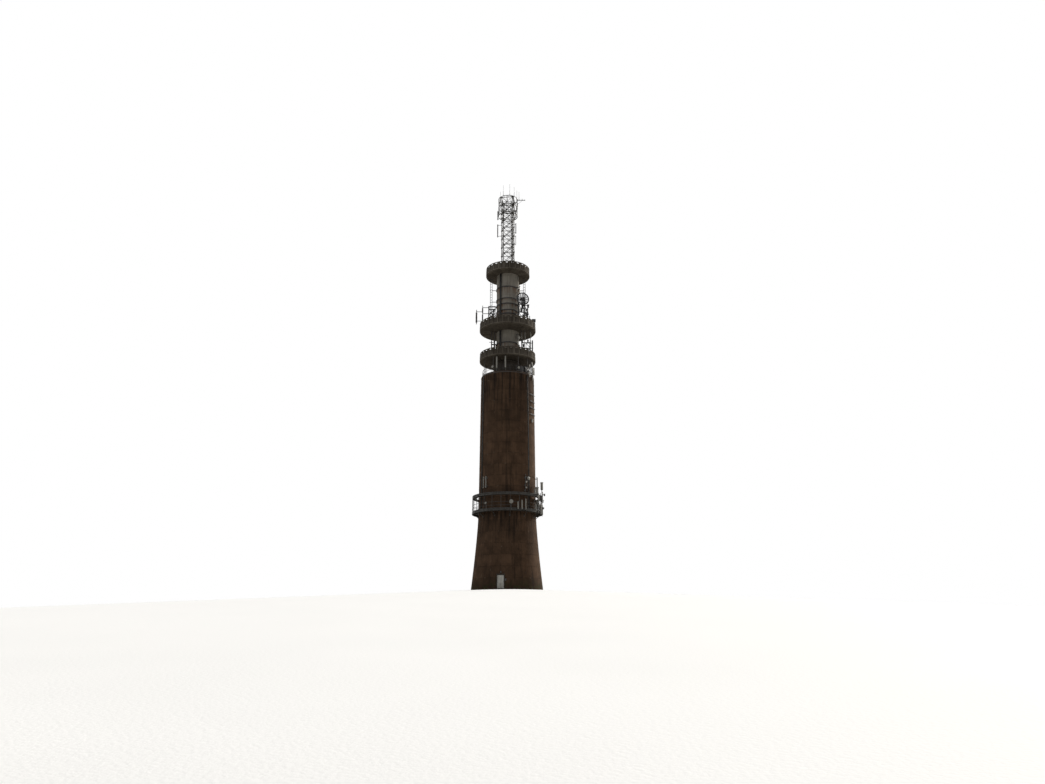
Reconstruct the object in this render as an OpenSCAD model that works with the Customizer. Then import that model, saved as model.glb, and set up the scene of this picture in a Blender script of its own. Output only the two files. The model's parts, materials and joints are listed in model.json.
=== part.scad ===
// Concrete radio tower with ring galleries and an open lattice mast, as a model at a reduced scale.
// Every size below is the real tower's, in millimetres. scaled() brings each part down to the model.
// The origin is at the middle of the foot, +Z is up, and the entrance faces -Y.

/* [Model] */
// Size of the model against the real tower
model_scale = 0.5; // [0.05:0.05:0.5]

/* [Shaft] */
// Height of the shaft roof above the ground
shaft_h = 35600; // [30000:100:42000]
// Outer radius of the shaft at its roof
shaft_top_r = 4540; // [4000:10:5200]
// How much the radius grows for each unit of height going down
shaft_taper = 0.0074; // [0:0.0001:0.02]
// Height at which the flare of the foot begins
flare_h = 12000; // [9000:100:15000]
// How far the flare stands out at the ground
flare_out = 987; // [400:1:1500]
// Curve of the flare, 1 being straight
flare_power = 1.35; // [1:0.05:2]
// Thickness of the concrete wall
wall_t = 350; // [250:10:500]
// Thickness of the ground floor, which is also the door step
floor_t = 150; // [100:10:250]
// Height of the first lift of wall, which holds the doorway
base_h = 3200; // [2800:50:4000]

/* [Entrance] */
// Clear width of the doorway
door_w = 1000; // [800:10:1200]
// Clear height of the doorway
door_h = 2000; // [1900:10:2300]
// Width of the concrete surround at each side
surround_w = 100; // [60:5:160]
// Depth of the surround, from its face to the room
surround_d = 550; // [450:10:700]
// Gap round the door leaf
door_gap = 16; // [12:1:24]

/* [Service gallery] */
// Height of the underside of the service gallery
service_z = 12100; // [11000:50:14000]
// Outer radius of the service gallery
service_r = 5740; // [5500:10:6200]
// Height of its cage above the underside
service_cage_h = 2960; // [2000:10:3200]
// Number of posts round the cage
cage_posts = 24; // [16:4:32]

/* [Column and rings] */
// Outer radius of the upper column
column_r = 1960; // [1600:10:2400]
// Thickness of the column wall
column_t = 250; // [150:10:400]
// Underside of the lower ring
lower_ring_z = 38370; // [37500:10:39500]
// Outer radius of the lower ring
lower_ring_r = 4800; // [4500:10:5200]
// Underside of the middle ring
middle_ring_z = 44000; // [43000:10:45000]
// Outer radius of the middle ring
middle_ring_r = 4860; // [4500:10:5300]
// Underside of the top ring
top_ring_z = 54550; // [53500:10:55500]
// Outer radius of the top ring
top_ring_r = 3850; // [3500:10:4300]
// Height of a ring from its underside to the top of its rail
ring_h = 1410; // [1200:10:1700]

/* [Mast] */
// Height of the top of the lattice
mast_top_z = 70200; // [66000:100:74000]
// Distance between the leg centres
mast_side = 1940; // [1600:10:2400]
// Number of bays in the height of the lattice
mast_bays = 9; // [7:1:11]
// Radius of the hoops at the mast head
hoop_r = 1770; // [1600:10:2000]
// Height of the tips of the whips
whip_top_z = 72500; // [71000:100:76000]

/* [Aerials] */
// Bearing from the entrance of the frame in which the aerials are set out
aerial_turn = 10; // [0:1:20]
// Diameter of the open grid dish
grid_dish_d = 2100; // [1800:50:3000]

/* [Hidden] */

round_fn = 256;
concrete_c = [0.36, 0.31, 0.27];
pale_concrete_c = [0.62, 0.60, 0.57];
steel_c = [0.30, 0.31, 0.32];
panel_c = [0.80, 0.80, 0.78];
door_c = [0.74, 0.75, 0.72];

// Hair's breadth between pieces that stand on each other
seat = 0.2;

// The ring slabs
slab_edge_t = 260;
slab_root_t = 420;
slab_root_w = 1500;
parapet_t = 80;
parapet_lean = 30;
rail_gap = 200;
rail_t = 80;
rail_pitch = 950;
block_w = 600;
foot_collar_r = 2400;
foot_collar_h = 2300;

// The entrance
surround_y = -5750;
surround_over = 150;
surround_half = door_w/2 + surround_w;
door_stop = 30;
leaf_t = 60;
leaf_w = door_w - 2*door_gap;
leaf_h = door_h - 2*door_gap;
knuckle_r = 20;
pin_r = 9;
knuckle_l = 110;
knuckle_gap = 10;
strap_t = 10;
hinge_x = -door_w/2 + door_gap/2;
hinge_y = surround_y - knuckle_r;
hinge_zs = [for (f = [0.13, 0.5, 0.87]) floor_t + f*door_h];

// The service gallery
deck_edge_h = 300;
deck_plate_t = 60;
deck_edge_t = 100;
wall_clear = 20;
post_t = 60;
top_rail_h = 120;
service_top_z = service_z + service_cage_h;
guard_zs = [for (h = [550, 1100]) service_z + deck_edge_h + h];

// The mast
leg_t = 110;
brace_t = 45;
brace_w = 65;
mast_foot_z = top_ring_z + slab_edge_t;
mast_h = mast_top_z - mast_foot_z;
bay_h = (mast_h - brace_w)/mast_bays;
mast_face = mast_side/2 + leg_t/2;
function level_z(i) = mast_foot_z + i*bay_h;
hoop_h = 90;
hoop_t = 60;

function shaft_r(z) = shaft_top_r + shaft_taper*(shaft_h - z)
    + (z < flare_h ? flare_out*pow(1 - z/flare_h, flare_power) : 0);

function lift_profile(z0, z1, steps) = concat(
    [for (i = [0:steps]) let (z = z0 + (z1 - z0)*i/steps) [shaft_r(z), z]],
    [for (i = [steps:-1:0]) let (z = z0 + (z1 - z0)*i/steps) [shaft_r(z) - wall_t, z]]);

module scaled() scale(model_scale) children();

// One lift of the round wall, over part of a turn
module wall_lift(z0, z1, steps, from, sweep)
    rotate_extrude(angle = sweep, start = from, $fn = round_fn) polygon(lift_profile(z0, z1, steps));

module base_lift(from, sweep) wall_lift(floor_t, base_h, 2, from, sweep);
module flare_lift(from) wall_lift(base_h, flare_h, 5, from, 90);
roof_t = 350;
module shaft_lift(from) wall_lift(flare_h, shaft_h - roof_t, 1, from, 90);

// A square-edged ring with its underside at z
module ring(r_out, r_in, z, h)
    translate([0, 0, z]) rotate_extrude($fn = round_fn) translate([r_in, 0]) square([r_out - r_in, h]);

// A straight bar of square section between two points
module bar(a, b, t) {
    d = b - a;
    len = norm(d);
    translate(a) rotate([0, acos(d[2]/len), atan2(d[1], d[0])]) rotate([0, 0, 45])
        cylinder(h = len, r = t/sqrt(2), $fn = 4);
}

// The space that the surround of the entrance takes out of the front wall
module doorway_cut(z0, z1)
    translate([-surround_half, surround_y - 500, z0]) cube([2*surround_half, 1500, z1 - z0]);

module ground_floor() color(concrete_c) scaled()
    cylinder(h = floor_t, r = shaft_r(0), $fn = round_fn);

module base_wall_front_left() color(concrete_c) scaled() difference() {
    base_lift(-135, 45);
    doorway_cut(0, base_h + 10);
}

module base_wall_front_right() color(concrete_c) scaled() difference() {
    base_lift(-90, 45);
    doorway_cut(0, base_h + 10);
}

module base_wall_left() color(concrete_c) scaled() base_lift(135, 90);
module base_wall_right() color(concrete_c) scaled() base_lift(-45, 90);
module base_wall_back() color(concrete_c) scaled() base_lift(45, 90);

module wall_over_door() color(concrete_c) scaled() intersection() {
    base_lift(-110, 40);
    doorway_cut(floor_t + door_h + surround_over, base_h + 10);
}

// A concrete surround with a stop for the door, and the fixed halves of three hinges
module door_frame() color(pale_concrete_c) scaled() {
    difference() {
        translate([-surround_half, surround_y, floor_t])
            cube([2*surround_half, surround_d, door_h + surround_over]);
        translate([-door_w/2, surround_y - 1, floor_t - 1]) cube([door_w, leaf_t + door_gap + 1, door_h + 1]);
        translate([-door_w/2 + door_stop, surround_y - 1, floor_t - 1])
            cube([door_w - 2*door_stop, surround_d + 2, door_h - door_stop + 1]);
    }
    for (z = hinge_zs) {
        for (side = [-1, 1]) translate([hinge_x, hinge_y, z + side*(knuckle_l + knuckle_gap) - knuckle_l/2])
            cylinder(h = knuckle_l, r = knuckle_r, $fn = 24);
        translate([hinge_x, hinge_y, z - knuckle_l]) cylinder(h = 2*knuckle_l, r = pin_r, $fn = 24);
        for (side = [-1, 1]) translate([hinge_x - 95, surround_y - strap_t, z
            + side*(knuckle_l + knuckle_gap) - knuckle_l/2]) cube([90, strap_t + 1, knuckle_l]);
    }
}

// A steel leaf with a raised border, straps that turn on the pins, and a lever handle
module entrance_door() color(door_c) scaled() {
    leaf_x = -leaf_w/2;
    leaf_z = floor_t + door_gap;
    border = 110;
    difference() {
        union() {
            translate([leaf_x, surround_y, leaf_z]) cube([leaf_w, leaf_t, leaf_h]);
            for (z = hinge_zs) {
                translate([hinge_x, hinge_y, z - knuckle_l/2])
                    cylinder(h = knuckle_l, r = knuckle_r, $fn = 24);
                translate([hinge_x, surround_y - strap_t, z - knuckle_l/2])
                    cube([260, strap_t + 1, knuckle_l]);
            }
        }
        translate([leaf_x + border + 60, surround_y - 1, leaf_z + border])
            cube([leaf_w - 2*border - 60, 13, leaf_h/2 - 1.5*border]);
        translate([leaf_x + border + 60, surround_y - 1, leaf_z + leaf_h/2 + border/2])
            cube([leaf_w - 2*border - 60, 13, leaf_h/2 - 1.5*border]);
        for (z = hinge_zs) translate([hinge_x, hinge_y, z - knuckle_l])
            cylinder(h = 2*knuckle_l, r = pin_r + 2, $fn = 24);
    }
    translate([leaf_w/2 - 80, surround_y - 8, floor_t + 950]) cube([50, 10, 220]);
    translate([leaf_w/2 - 55, surround_y - 55, floor_t + 1060]) rotate([-90, 0, 0])
        cylinder(h = 50, r = 11, $fn = 16);
    translate([leaf_w/2 - 175, surround_y - 62, floor_t + 1048]) cube([132, 20, 24]);
}

module flare_wall_front() color(concrete_c) scaled() flare_lift(-135);
module flare_wall_right() color(concrete_c) scaled() flare_lift(-45);
module flare_wall_back() color(concrete_c) scaled() flare_lift(45);
module flare_wall_left() color(concrete_c) scaled() flare_lift(135);

module shaft_wall_front() color(concrete_c) scaled() shaft_lift(-135);
module shaft_wall_right() color(concrete_c) scaled() shaft_lift(-45);
module shaft_wall_back() color(concrete_c) scaled() shaft_lift(45);
module shaft_wall_left() color(concrete_c) scaled() shaft_lift(135);

// A slab over the whole shaft with a chamfered edge
module shaft_roof() color(concrete_c) scaled() {
    edge_r = shaft_r(shaft_h - roof_t);
    chamfer = 140;
    rotate_extrude($fn = round_fn) polygon([[0, shaft_h - roof_t], [edge_r, shaft_h - roof_t],
        [edge_r, shaft_h - chamfer], [edge_r - chamfer, shaft_h], [0, shaft_h]]);
}

// The floor of the service gallery: an edge beam, a plate and radial beams
module service_deck() color(steel_c) scaled() {
    inner_r = shaft_r(service_z) + wall_clear;
    plate_z = service_z + deck_edge_h - deck_plate_t;
    ring(service_r, service_r - deck_edge_t, service_z, deck_edge_h);
    ring(service_r - deck_edge_t/2, inner_r, plate_z, deck_plate_t);
    ring(inner_r + 80, inner_r, service_z + 60, deck_edge_h - 60 - deck_plate_t/2);
    for (i = [0:11]) rotate([0, 0, 30*i + 15]) translate([inner_r + 40, -50, service_z + 60])
        cube([service_r - inner_r - 90, 100, deck_edge_h - 100]);
}

// Posts in a ring, n of them, with their middles at radius r, t deep and w wide
module posts_round(r, n, z, t, w, h)
    for (i = [0:n - 1]) rotate([0, 0, 360*i/n]) translate([r - t/2, -w/2, z]) cube([t, w, h]);

// Straight rails between such posts
module rails_between(r, n, post_w, z, w, h) {
    a = 180/n;
    x = r*cos(a) + post_w/2*sin(a);
    half = r*sin(a) - post_w/2*cos(a) - w/2*tan(a) - seat;
    for (i = [0:n - 1]) rotate([0, 0, (2*i + 1)*a]) translate([x - w/2, -half, z]) cube([w, 2*half, h]);
}

// The posts of the cage round the service gallery
module service_posts() color(steel_c) scaled() {
    foot = service_z + deck_edge_h + seat;
    posts_round(service_r - post_t/2, cage_posts, foot, post_t, post_t,
        service_top_z - top_rail_h - foot - seat);
}

// Two guard rails between the posts
module service_rails() color(steel_c) scaled()
    for (z = guard_zs) rails_between(service_r - post_t/2, cage_posts, post_t, z - 25, 35, 50);

// A ring for aerials on the heads of the posts
module service_top_ring() color(steel_c) scaled()
    ring(service_r, service_r - post_t, service_top_z - top_rail_h, top_rail_h);

// A pole outside the cage with stubs back to the edge beam and the top ring
module cage_pole(angle, z0, z1) {
    pole_r = service_r + 70;
    rotate([0, 0, angle]) {
        translate([pole_r, 0, z0]) cylinder(h = z1 - z0, r = 35, $fn = 12);
        for (z = [service_z + deck_edge_h/2, service_top_z - top_rail_h/2]) if (z > z0 && z < z1)
            translate([service_r, -30, z - 30]) cube([pole_r - service_r, 60, 60]);
    }
}

// A flat panel aerial on the outer side of a pole
module panel_aerial(r, angle, z0, z1, w, d)
    rotate([0, 0, angle]) translate([r, -w/2, z0]) cube([d, w, z1 - z0]);

// A closed round dish that looks outwards along a bearing
module drum_dish(r, angle, z, d, depth)
    rotate([0, 0, angle]) translate([r, 0, z]) rotate([0, 90, 0])
        cylinder(h = depth, r1 = d/2*0.8, r2 = d/2, $fn = 48);

near = aerial_turn - 90;

module service_aerials() color(panel_c) scaled() {
    face_r = service_r + 90;
    low = service_z - 400;
    for (a = [17, 23.5, 30]) {
        cage_pole(near + a, service_z + 50, service_z + 1750);
        panel_aerial(face_r, near + a, service_z + 200, service_z + 1650, 220, 120);
    }
    cage_pole(near + 6, service_z + 50, service_z + 1800);
    drum_dish(face_r, near + 6, service_z + 1340, 640, 220);
    cage_pole(near - 35, service_z + 50, service_z + 1500);
    drum_dish(face_r, near - 35, service_z + 1250, 360, 160);
    cage_pole(near + 77, low, service_top_z + 1150);
    panel_aerial(face_r, near + 77, 14280, 15800, 280, 150);
    panel_aerial(face_r, near + 77, 11900, 13500, 240, 140);
    rotate([0, 0, near + 77]) {
        translate([service_r + 80, -30, 15200]) cube([500, 60, 60]);
        translate([service_r + 450, -130, 15060]) cube([220, 260, 300]);
        translate([service_r + 220, -100, 12900]) cube([180, 200, 240]);
    }
    cage_pole(near + 68, low + 100, service_top_z + 300);
    panel_aerial(face_r, near + 68, 11950, 13700, 240, 140);
    rotate([0, 0, near + 72.5]) translate([service_r + 75, -520, 13980]) cube([260, 1040, 320]);
    cage_pole(near + 59, service_z + 50, service_top_z + 300);
    panel_aerial(face_r, near + 59, 14000, 15200, 260, 140);
}

// Aerials on brackets from the shaft wall, cut to the wall's own surface
module shaft_aerials() color(panel_c) scaled() difference() {
    union() {
        for (a = [-44, -51]) wall_panel(near + a, 15980, 17870, 220);
        wall_panel(near + 86, 15950, 18250, 240);
        for (z = [15500, 16600, 17600]) wall_bracket(near + 36.5, z, 400);
        rotate([0, 0, near + 36.5]) translate([4950, 0, 15200]) cylinder(h = 2900, r = 45, $fn = 12);
        wall_bracket(near + 42, 17480, 400);
        drum_dish(4930, near + 42, 17480, 640, 260);
        drum_dish(4950, near + 36.5, 16850, 360, 200);
        drum_dish(4950, near + 36.5, 15950, 300, 180);
    }
    rotate_extrude($fn = round_fn) polygon(concat([[0, flare_h]],
        [[shaft_r(flare_h), flare_h], [shaft_r(shaft_h - roof_t), shaft_h - roof_t]],
        [[0, shaft_h - roof_t]]));
}

module wall_bracket(angle, z, reach)
    rotate([0, 0, angle]) translate([shaft_top_r, -40, z - 40]) cube([reach, 80, 80]);

// A panel aerial on a pole that two brackets hold off the wall
module wall_panel(angle, z0, z1, w) {
    for (z = [z0 + 320, z1 - 270]) wall_bracket(angle, z, 400);
    rotate([0, 0, angle]) translate([4900, 0, z0 - 30]) cylinder(h = z1 - z0 + 60, r = 35, $fn = 12);
    panel_aerial(4920, angle, z0, z1, w, 120);
}

// The upper column, with a thicker foot on the shaft roof
module core_column() color(pale_concrete_c) scaled() {
    ring(column_r, column_r - column_t, shaft_h, top_ring_z - shaft_h);
    ring(foot_collar_r, column_r - column_t/2, shaft_h, foot_collar_h);
}

// Steel bands round the column
module mounting_rings() color(steel_c) scaled()
    for (z = [41500, 46850, 47500, 48700, 49700, 51900]) ring(column_r + 100, column_r, z, 140);

// A pole beside the column with a closed dish and a panel, under the middle ring
module column_aerials() color(panel_c) scaled() {
    angle = near + 49;
    pole_r = column_r + 330;
    z0 = lower_ring_z + slab_edge_t + seat;
    rotate([0, 0, angle]) {
        translate([pole_r, 0, z0]) cylinder(h = 43300 - z0, r = 40, $fn = 12);
        for (z = [40300, 43100]) difference() {
            translate([column_r - 20, -30, z - 30]) cube([pole_r - column_r + 20, 60, 60]);
            cylinder(h = mast_top_z, r = column_r + seat, $fn = round_fn);
        }
    }
    drum_dish(pole_r + 30, angle, 42500, 640, 240);
    panel_aerial(pole_r + 30, angle, 40900, 41900, 240, 120);
}

// A ring slab: thick at the column, thin at its edge
module ring_slab(z, r, r_in) rotate_extrude($fn = round_fn) polygon([
    [r_in, z - slab_root_t + slab_edge_t], [column_r + slab_root_w, z], [r, z],
    [r, z + slab_edge_t], [r_in, z + slab_edge_t]]);

module ring_parapet(z, r) {
    foot = z + slab_edge_t;
    head = z + ring_h - rail_t - rail_gap;
    rotate_extrude($fn = round_fn) polygon([[r, foot], [r - parapet_lean, head],
        [r - parapet_lean - parapet_t, head], [r - parapet_t, foot]]);
}

// Blocks on the parapet with a capping between their heads, which leaves small openings
module ring_rail(z, r) {
    mid_r = r - parapet_lean - parapet_t/2;
    foot = z + ring_h - rail_t - rail_gap + seat;
    n = 4*round(2*PI*r/rail_pitch/4);
    posts_round(mid_r, n, foot, post_t, block_w, z + ring_h - foot);
    rails_between(mid_r, n, block_w, z + ring_h - rail_t, post_t, rail_t);
}

module lower_ring_slab() color(concrete_c) scaled() ring_slab(lower_ring_z, lower_ring_r, column_r);
module lower_ring_parapet() color(concrete_c) scaled() ring_parapet(lower_ring_z, lower_ring_r);
module lower_ring_rail() color(concrete_c) scaled() ring_rail(lower_ring_z, lower_ring_r);
module middle_ring_slab() color(concrete_c) scaled() ring_slab(middle_ring_z, middle_ring_r, column_r);
module middle_ring_parapet() color(concrete_c) scaled() ring_parapet(middle_ring_z, middle_ring_r);
module middle_ring_rail() color(concrete_c) scaled() ring_rail(middle_ring_z, middle_ring_r);
module top_ring_slab() color(concrete_c) scaled() ring(top_ring_r, 0, top_ring_z, slab_edge_t);
module top_ring_parapet() color(concrete_c) scaled() ring_parapet(top_ring_z, top_ring_r);
module top_ring_rail() color(concrete_c) scaled() ring_rail(top_ring_z, top_ring_r);

// Poles on the shaft roof that carry panels and small dishes under the lower ring
module roof_aerials() color(panel_c) scaled() {
    pole_r = 4250;
    pole_top = lower_ring_z - 60;
    for (a = [-70, -35, -25, -5, 25, 52, 59, 66, 75, 110, 150, 200, 245])
        rotate([0, 0, near + a]) translate([pole_r, 0, shaft_h + seat])
            cylinder(h = pole_top - shaft_h, r = 45, $fn = 12);
    for (a = [-25, -5]) panel_aerial(pole_r + 30, near + a, 36200, 38250, 220, 140);
    panel_aerial(pole_r + 30, near + 59, 36600, 37350, 260, 140);
    panel_aerial(pole_r + 30, near + 75, 37350, 38250, 260, 140);
    outer_panel(pole_r, 66, 34650, 37100, 280);
    outer_panel(pole_r, 52, 34950, 35950, 260);
    outer_panel(pole_r, 75, 35750, 37050, 200);
    drum_dish(pole_r + 30, near - 35, 36500, 420, 180);
    drum_dish(pole_r + 30, near + 25, 36250, 420, 180);
}

// A panel that hangs outside the roof's edge on arms from a pole
module outer_panel(pole_r, a, z0, z1, w) {
    panel_aerial(pole_r + 400, near + a, z0, z1, w, 140);
    for (z = z1 > 36500 ? [35900, z1 - 250] : [z1 - 150])
        rotate([0, 0, near + a]) translate([pole_r, -30, z]) cube([410, 60, 60]);
}

// Braced posts between the lower and the middle ring, at the left and the right
module ring_posts() color(steel_c) scaled() rotate([0, 0, aerial_turn]) {
    z0 = lower_ring_z + slab_edge_t + seat;
    difference() {
        union() {
            for (x = [-2800, -2300]) bar([x, -700, z0], [x, -700, middle_ring_z], 110);
            for (z = [z0 + 700, z0 + 1400, z0 + 2250, z0 + 3300])
                bar([-3200, -700, z], [-2295, -700, z], 80);
        }
        translate([0, 0, -seat]) ring_slab(middle_ring_z, middle_ring_r, column_r);
    }
    for (x = [3970, 4350]) bar([x, -500, z0], [x, -500, z0 + 3750], 110);
    for (z = [z0 + 1300, z0 + 2300, z0 + 3250]) bar([2400, -500, z], [4400, -500, z], 80);
    for (x = [2450, 3200]) bar([x, -500, z0], [x, -500, z0 + 3290], 80);
    bar([3200, -500, z0 + 1300], [3970, -500, z0 + 2300], 60);
    bar([3970, -500, z0 + 2300], [3200, -500, z0 + 3250], 60);
}

// Slim ladder posts beside the column with struts back to its bands
module column_ladders() color(steel_c) scaled() rotate([0, 0, aerial_turn]) {
    z0 = middle_ring_z + slab_edge_t + seat;
    z1 = 54300;
    for (side = [-1, 1]) {
        for (x = [2780, 3100]) bar([side*x, 0, z0], [side*x, 0, z1], 70);
        for (z = [z0 + 400:500:z1]) bar([side*2780, 0, z], [side*3100, 0, z], 50);
        for (z = [49770, 51970]) bar([side*(column_r + 100), 0, z], [side*2800, 0, z], 80);
    }
}

// A braced rectangular frame that stands on the middle ring at the left
module braced_frame() color(steel_c) scaled() rotate([0, 0, aerial_turn]) {
    z0 = middle_ring_z + slab_edge_t + seat;
    y = -1500;
    for (x = [-3300, -2200]) bar([x, y, z0], [x, y, 48350], 110);
    for (z = [45950, 47800, 48300]) bar([-3350, y, z], [-2150, y, z], 90);
    for (s = [-1, 1], z = [45950, 46875]) bar([-2750 - s*550, y, z], [-2750 + s*550, y, z + 925], 60);
    bar([-3300, y, 46875], [-2200, y, 46875], 70);
}

// Two booms from the braced frame with a rectangular loop
module loop_aerial() color(steel_c) scaled() rotate([0, 0, aerial_turn]) {
    y = -1500;
    for (z = [46950, 48080]) bar([-3355 - seat, y, z], [-4400, y, z], 80);
    bar([-4400, y, 45500], [-4400, y, 48300], 90);
    for (z = [45560, 47300]) bar([-4400, y, z], [-5450, y, z], 70);
    bar([-5450, y, 45100], [-5450, y, 47520], 130);
}

// Position and bearing of the open grid dish
dish_z = 49270;
dish_x = 2600;
dish_y = -2700;
dish_bearing = -72;
dish_back = 330;

// A braced frame on the middle ring that carries the grid dish, with a flood lamp at the right
module dish_frame() color(steel_c) scaled() rotate([0, 0, aerial_turn]) {
    z0 = middle_ring_z + slab_edge_t + seat;
    zs = [z0 + 1200, z0 + 2600, z0 + 4000];
    translate([dish_x, dish_y, 0]) rotate([0, 0, dish_bearing]) {
        for (y = [-700, 450]) bar([-dish_back, y, z0], [-dish_back, y, dish_z + 500], 110);
        bar([-dish_back, 1050, z0], [-dish_back, 1050, zs[2] + 50], 110);
        for (z = zs) bar([-dish_back, -750, z], [-dish_back, 1100, z], 90);
        bar([-dish_back, -750, dish_z], [-dish_back, 500, dish_z], 90);
        for (i = [0, 1]) {
            bar([-dish_back, -700, zs[i]], [-dish_back, 450, zs[i + 1]], 60);
            bar([-dish_back, 450, zs[i]], [-dish_back, -700, zs[i + 1]], 60);
            bar([-dish_back, 450, zs[i + 1]], [-dish_back, 1050, zs[i]], 60);
        }
    }
    for (y = [-700, 100]) bar([3850, y, z0], [3850, y, 46900], 110);
    for (z = [45900, 46850]) bar([3850, -750, z], [3850, 150, z], 90);
    bar([4300, -1200, z0], [4300, -1200, 45900], 80);
    translate([4200, -1450, 45560]) cube([650, 500, 420]);
}

dish_depth = 340;
dish_lift = 45 - dish_back;
dish_rib = 45;
function dish_curve(x) = dish_lift + dish_depth*pow(2*x/grid_dish_d, 2);

// An open dish of ribs on a parabola, tied by three rings, with its feed on a stalk
module grid_dish() color(panel_c) scaled() rotate([0, 0, aerial_turn])
    translate([dish_x, dish_y, dish_z]) rotate([0, 0, dish_bearing]) rotate([0, 90, 0]) {
        r = grid_dish_d/2;
        steps = 6;
        for (k = [0:5]) rotate([0, 0, 30*k]) rotate([90, 0, 0]) translate([0, 0, -dish_rib/2])
            linear_extrude(dish_rib) polygon(concat(
                [for (i = [-steps:steps]) [r*i/steps, dish_curve(r*i/steps)]],
                [for (i = [steps:-1:-steps]) [r*i/steps, dish_curve(r*i/steps) + 2*dish_rib]]));
        for (f = [1/3, 2/3, 1])
            ring(r*f + dish_rib/2, r*f - dish_rib/2, dish_curve(r*f) + dish_rib/2, dish_rib);
        translate([0, 0, dish_lift]) cylinder(h = 160, r = 160, $fn = 48);
        translate([0, 0, dish_lift]) cylinder(h = 900, r = 40, $fn = 24);
        translate([0, 0, dish_lift + 800]) cylinder(h = 160, r = 110, $fn = 24);
    }

// The four legs of the lattice
module mast_legs() color(steel_c) scaled()
    for (x = [-1, 1], y = [-1, 1])
        translate([x*mast_side/2 - leg_t/2, y*mast_side/2 - leg_t/2, mast_foot_z])
            cube([leg_t, leg_t, mast_h]);

// One flat side of the lattice: level bars and crossed braces, cut from one outline
module lattice_side() {
    w = 2*mast_face;
    translate([0, -mast_face, mast_foot_z]) rotate([90, 0, 0]) linear_extrude(brace_t) {
        for (i = [0:mast_bays]) translate([-w/2, i*bay_h]) square([w, brace_w]);
        for (i = [0:mast_bays - 1], s = [-1, 1]) translate([0, (i + 0.5)*bay_h + brace_w/2])
            rotate(s*atan2(bay_h, w - leg_t)) square([norm([bay_h, w - leg_t]), brace_w], center = true);
    }
}

module mast_side_front() color(steel_c) scaled() lattice_side();
module mast_side_right() color(steel_c) scaled() rotate([0, 0, 90]) lattice_side();
module mast_side_back() color(steel_c) scaled() rotate([0, 0, 180]) lattice_side();
module mast_side_left() color(steel_c) scaled() rotate([0, 0, 270]) lattice_side();

// Three hoops on crossed outriggers, with a boom at the right
hoop_zs = [for (i = [2, 1, 0]) min(level_z(mast_bays - i), mast_top_z - hoop_h)];
module mast_head() color(steel_c) scaled() {
    reach = mast_face + brace_t + hoop_t/2;
    span = sqrt(pow(hoop_r - hoop_t/2, 2) - reach*reach);
    for (z = hoop_zs) {
        ring(hoop_r, hoop_r - hoop_t, z, hoop_h);
        for (s = [-1, 1]) {
            translate([-span, s*reach - hoop_t/2, z]) cube([2*span, hoop_t, hoop_h]);
            translate([s*reach - hoop_t/2, -span, z]) cube([hoop_t, 2*span, hoop_h]);
        }
    }
    rotate([0, 0, aerial_turn]) translate([hoop_r - hoop_t/2, -35, hoop_zs[2]]) cube([1420, 70, hoop_h]);
}

// Whips that stand on the top hoop, and one on the boom
whip_bearings = [155, -110, 110, -70, 80, -40, 30];
module whip_aerials() color(panel_c) scaled() {
    foot = hoop_zs[2] + hoop_h + seat;
    for (i = [0:6]) rotate([0, 0, whip_bearings[i]]) translate([hoop_r - hoop_t/2, 0, foot])
        cylinder(h = whip_top_z - foot - 220*(i % 3), r = 25, $fn = 12);
    rotate([0, 0, aerial_turn]) translate([2030, 0, foot]) cylinder(h = 1700, r = 25, $fn = 12);
}

// An upright panel or dipole on two arms from a near leg of the lattice, on the side s
module leg_aerial(s, x, z0, z1, t) {
    y = -mast_side/2;
    arm_x = mast_face + seat;
    bar([s*x, y, z0], [s*x, y, z1], t);
    for (z = [z0 + 150, z1 - 210])
        translate([min(s*arm_x, s*x), y - 30, z]) cube([x - arm_x, 60, 60]);
}

// Short upright bars round the mast head, from the top of one hoop to the foot of the next
module hoop_posts(i, bearings)
    for (a = bearings) rotate([0, 0, a]) translate([hoop_r - hoop_t, -45, hoop_zs[i] + hoop_h + seat])
        cube([hoop_t, 90, hoop_zs[i + 1] - hoop_zs[i] - hoop_h - 2*seat]);

module mast_aerials() color(steel_c) scaled() {
    leg_aerial(-1, 1720, 65700, 67450, 150);
    leg_aerial(-1, 1720, 62200, 64750, 150);
    leg_aerial(1, 1620, 65750, 67400, 130);
    leg_aerial(1, 1620, 62650, 64700, 130);
    leg_aerial(1, 1600, 60350, 62250, 70);
    hoop_posts(0, [-100, -20, 60, 130, 185]);
    hoop_posts(1, [-150, -130, -85, -45, -10, 20, 75, 110, 170]);
}

ground_floor();
base_wall_front_left();
base_wall_front_right();
base_wall_left();
base_wall_right();
base_wall_back();
wall_over_door();
door_frame();
entrance_door();
flare_wall_front();
flare_wall_right();
flare_wall_back();
flare_wall_left();
shaft_wall_front();
shaft_wall_right();
shaft_wall_back();
shaft_wall_left();
shaft_roof();
service_deck();
service_posts();
service_rails();
service_top_ring();
service_aerials();
shaft_aerials();
core_column();
mounting_rings();
column_aerials();
lower_ring_slab();
lower_ring_parapet();
lower_ring_rail();
middle_ring_slab();
middle_ring_parapet();
middle_ring_rail();
top_ring_slab();
top_ring_parapet();
top_ring_rail();
roof_aerials();
ring_posts();
column_ladders();
braced_frame();
loop_aerial();
dish_frame();
grid_dish();
mast_legs();
mast_side_front();
mast_side_right();
mast_side_back();
mast_side_left();
mast_head();
whip_aerials();
mast_aerials();
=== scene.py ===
# %% [markdown]
# # A concrete radio tower, from its flared foot to its lattice mast
# This lesson builds the looks of a round concrete tower around a model that already has its
# structure: walls, rings, column, lattice and door. We never move or change those parts. We give
# them weathered finishes, and we model the smaller things that a builder would bolt to them.
# The unit is the metre, up is +Z, and the entrance faces -Y. The model is half the real size, so a
# handrail that is 1.1 m high on the tower is 0.55 m high here.

import json
import math

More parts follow.
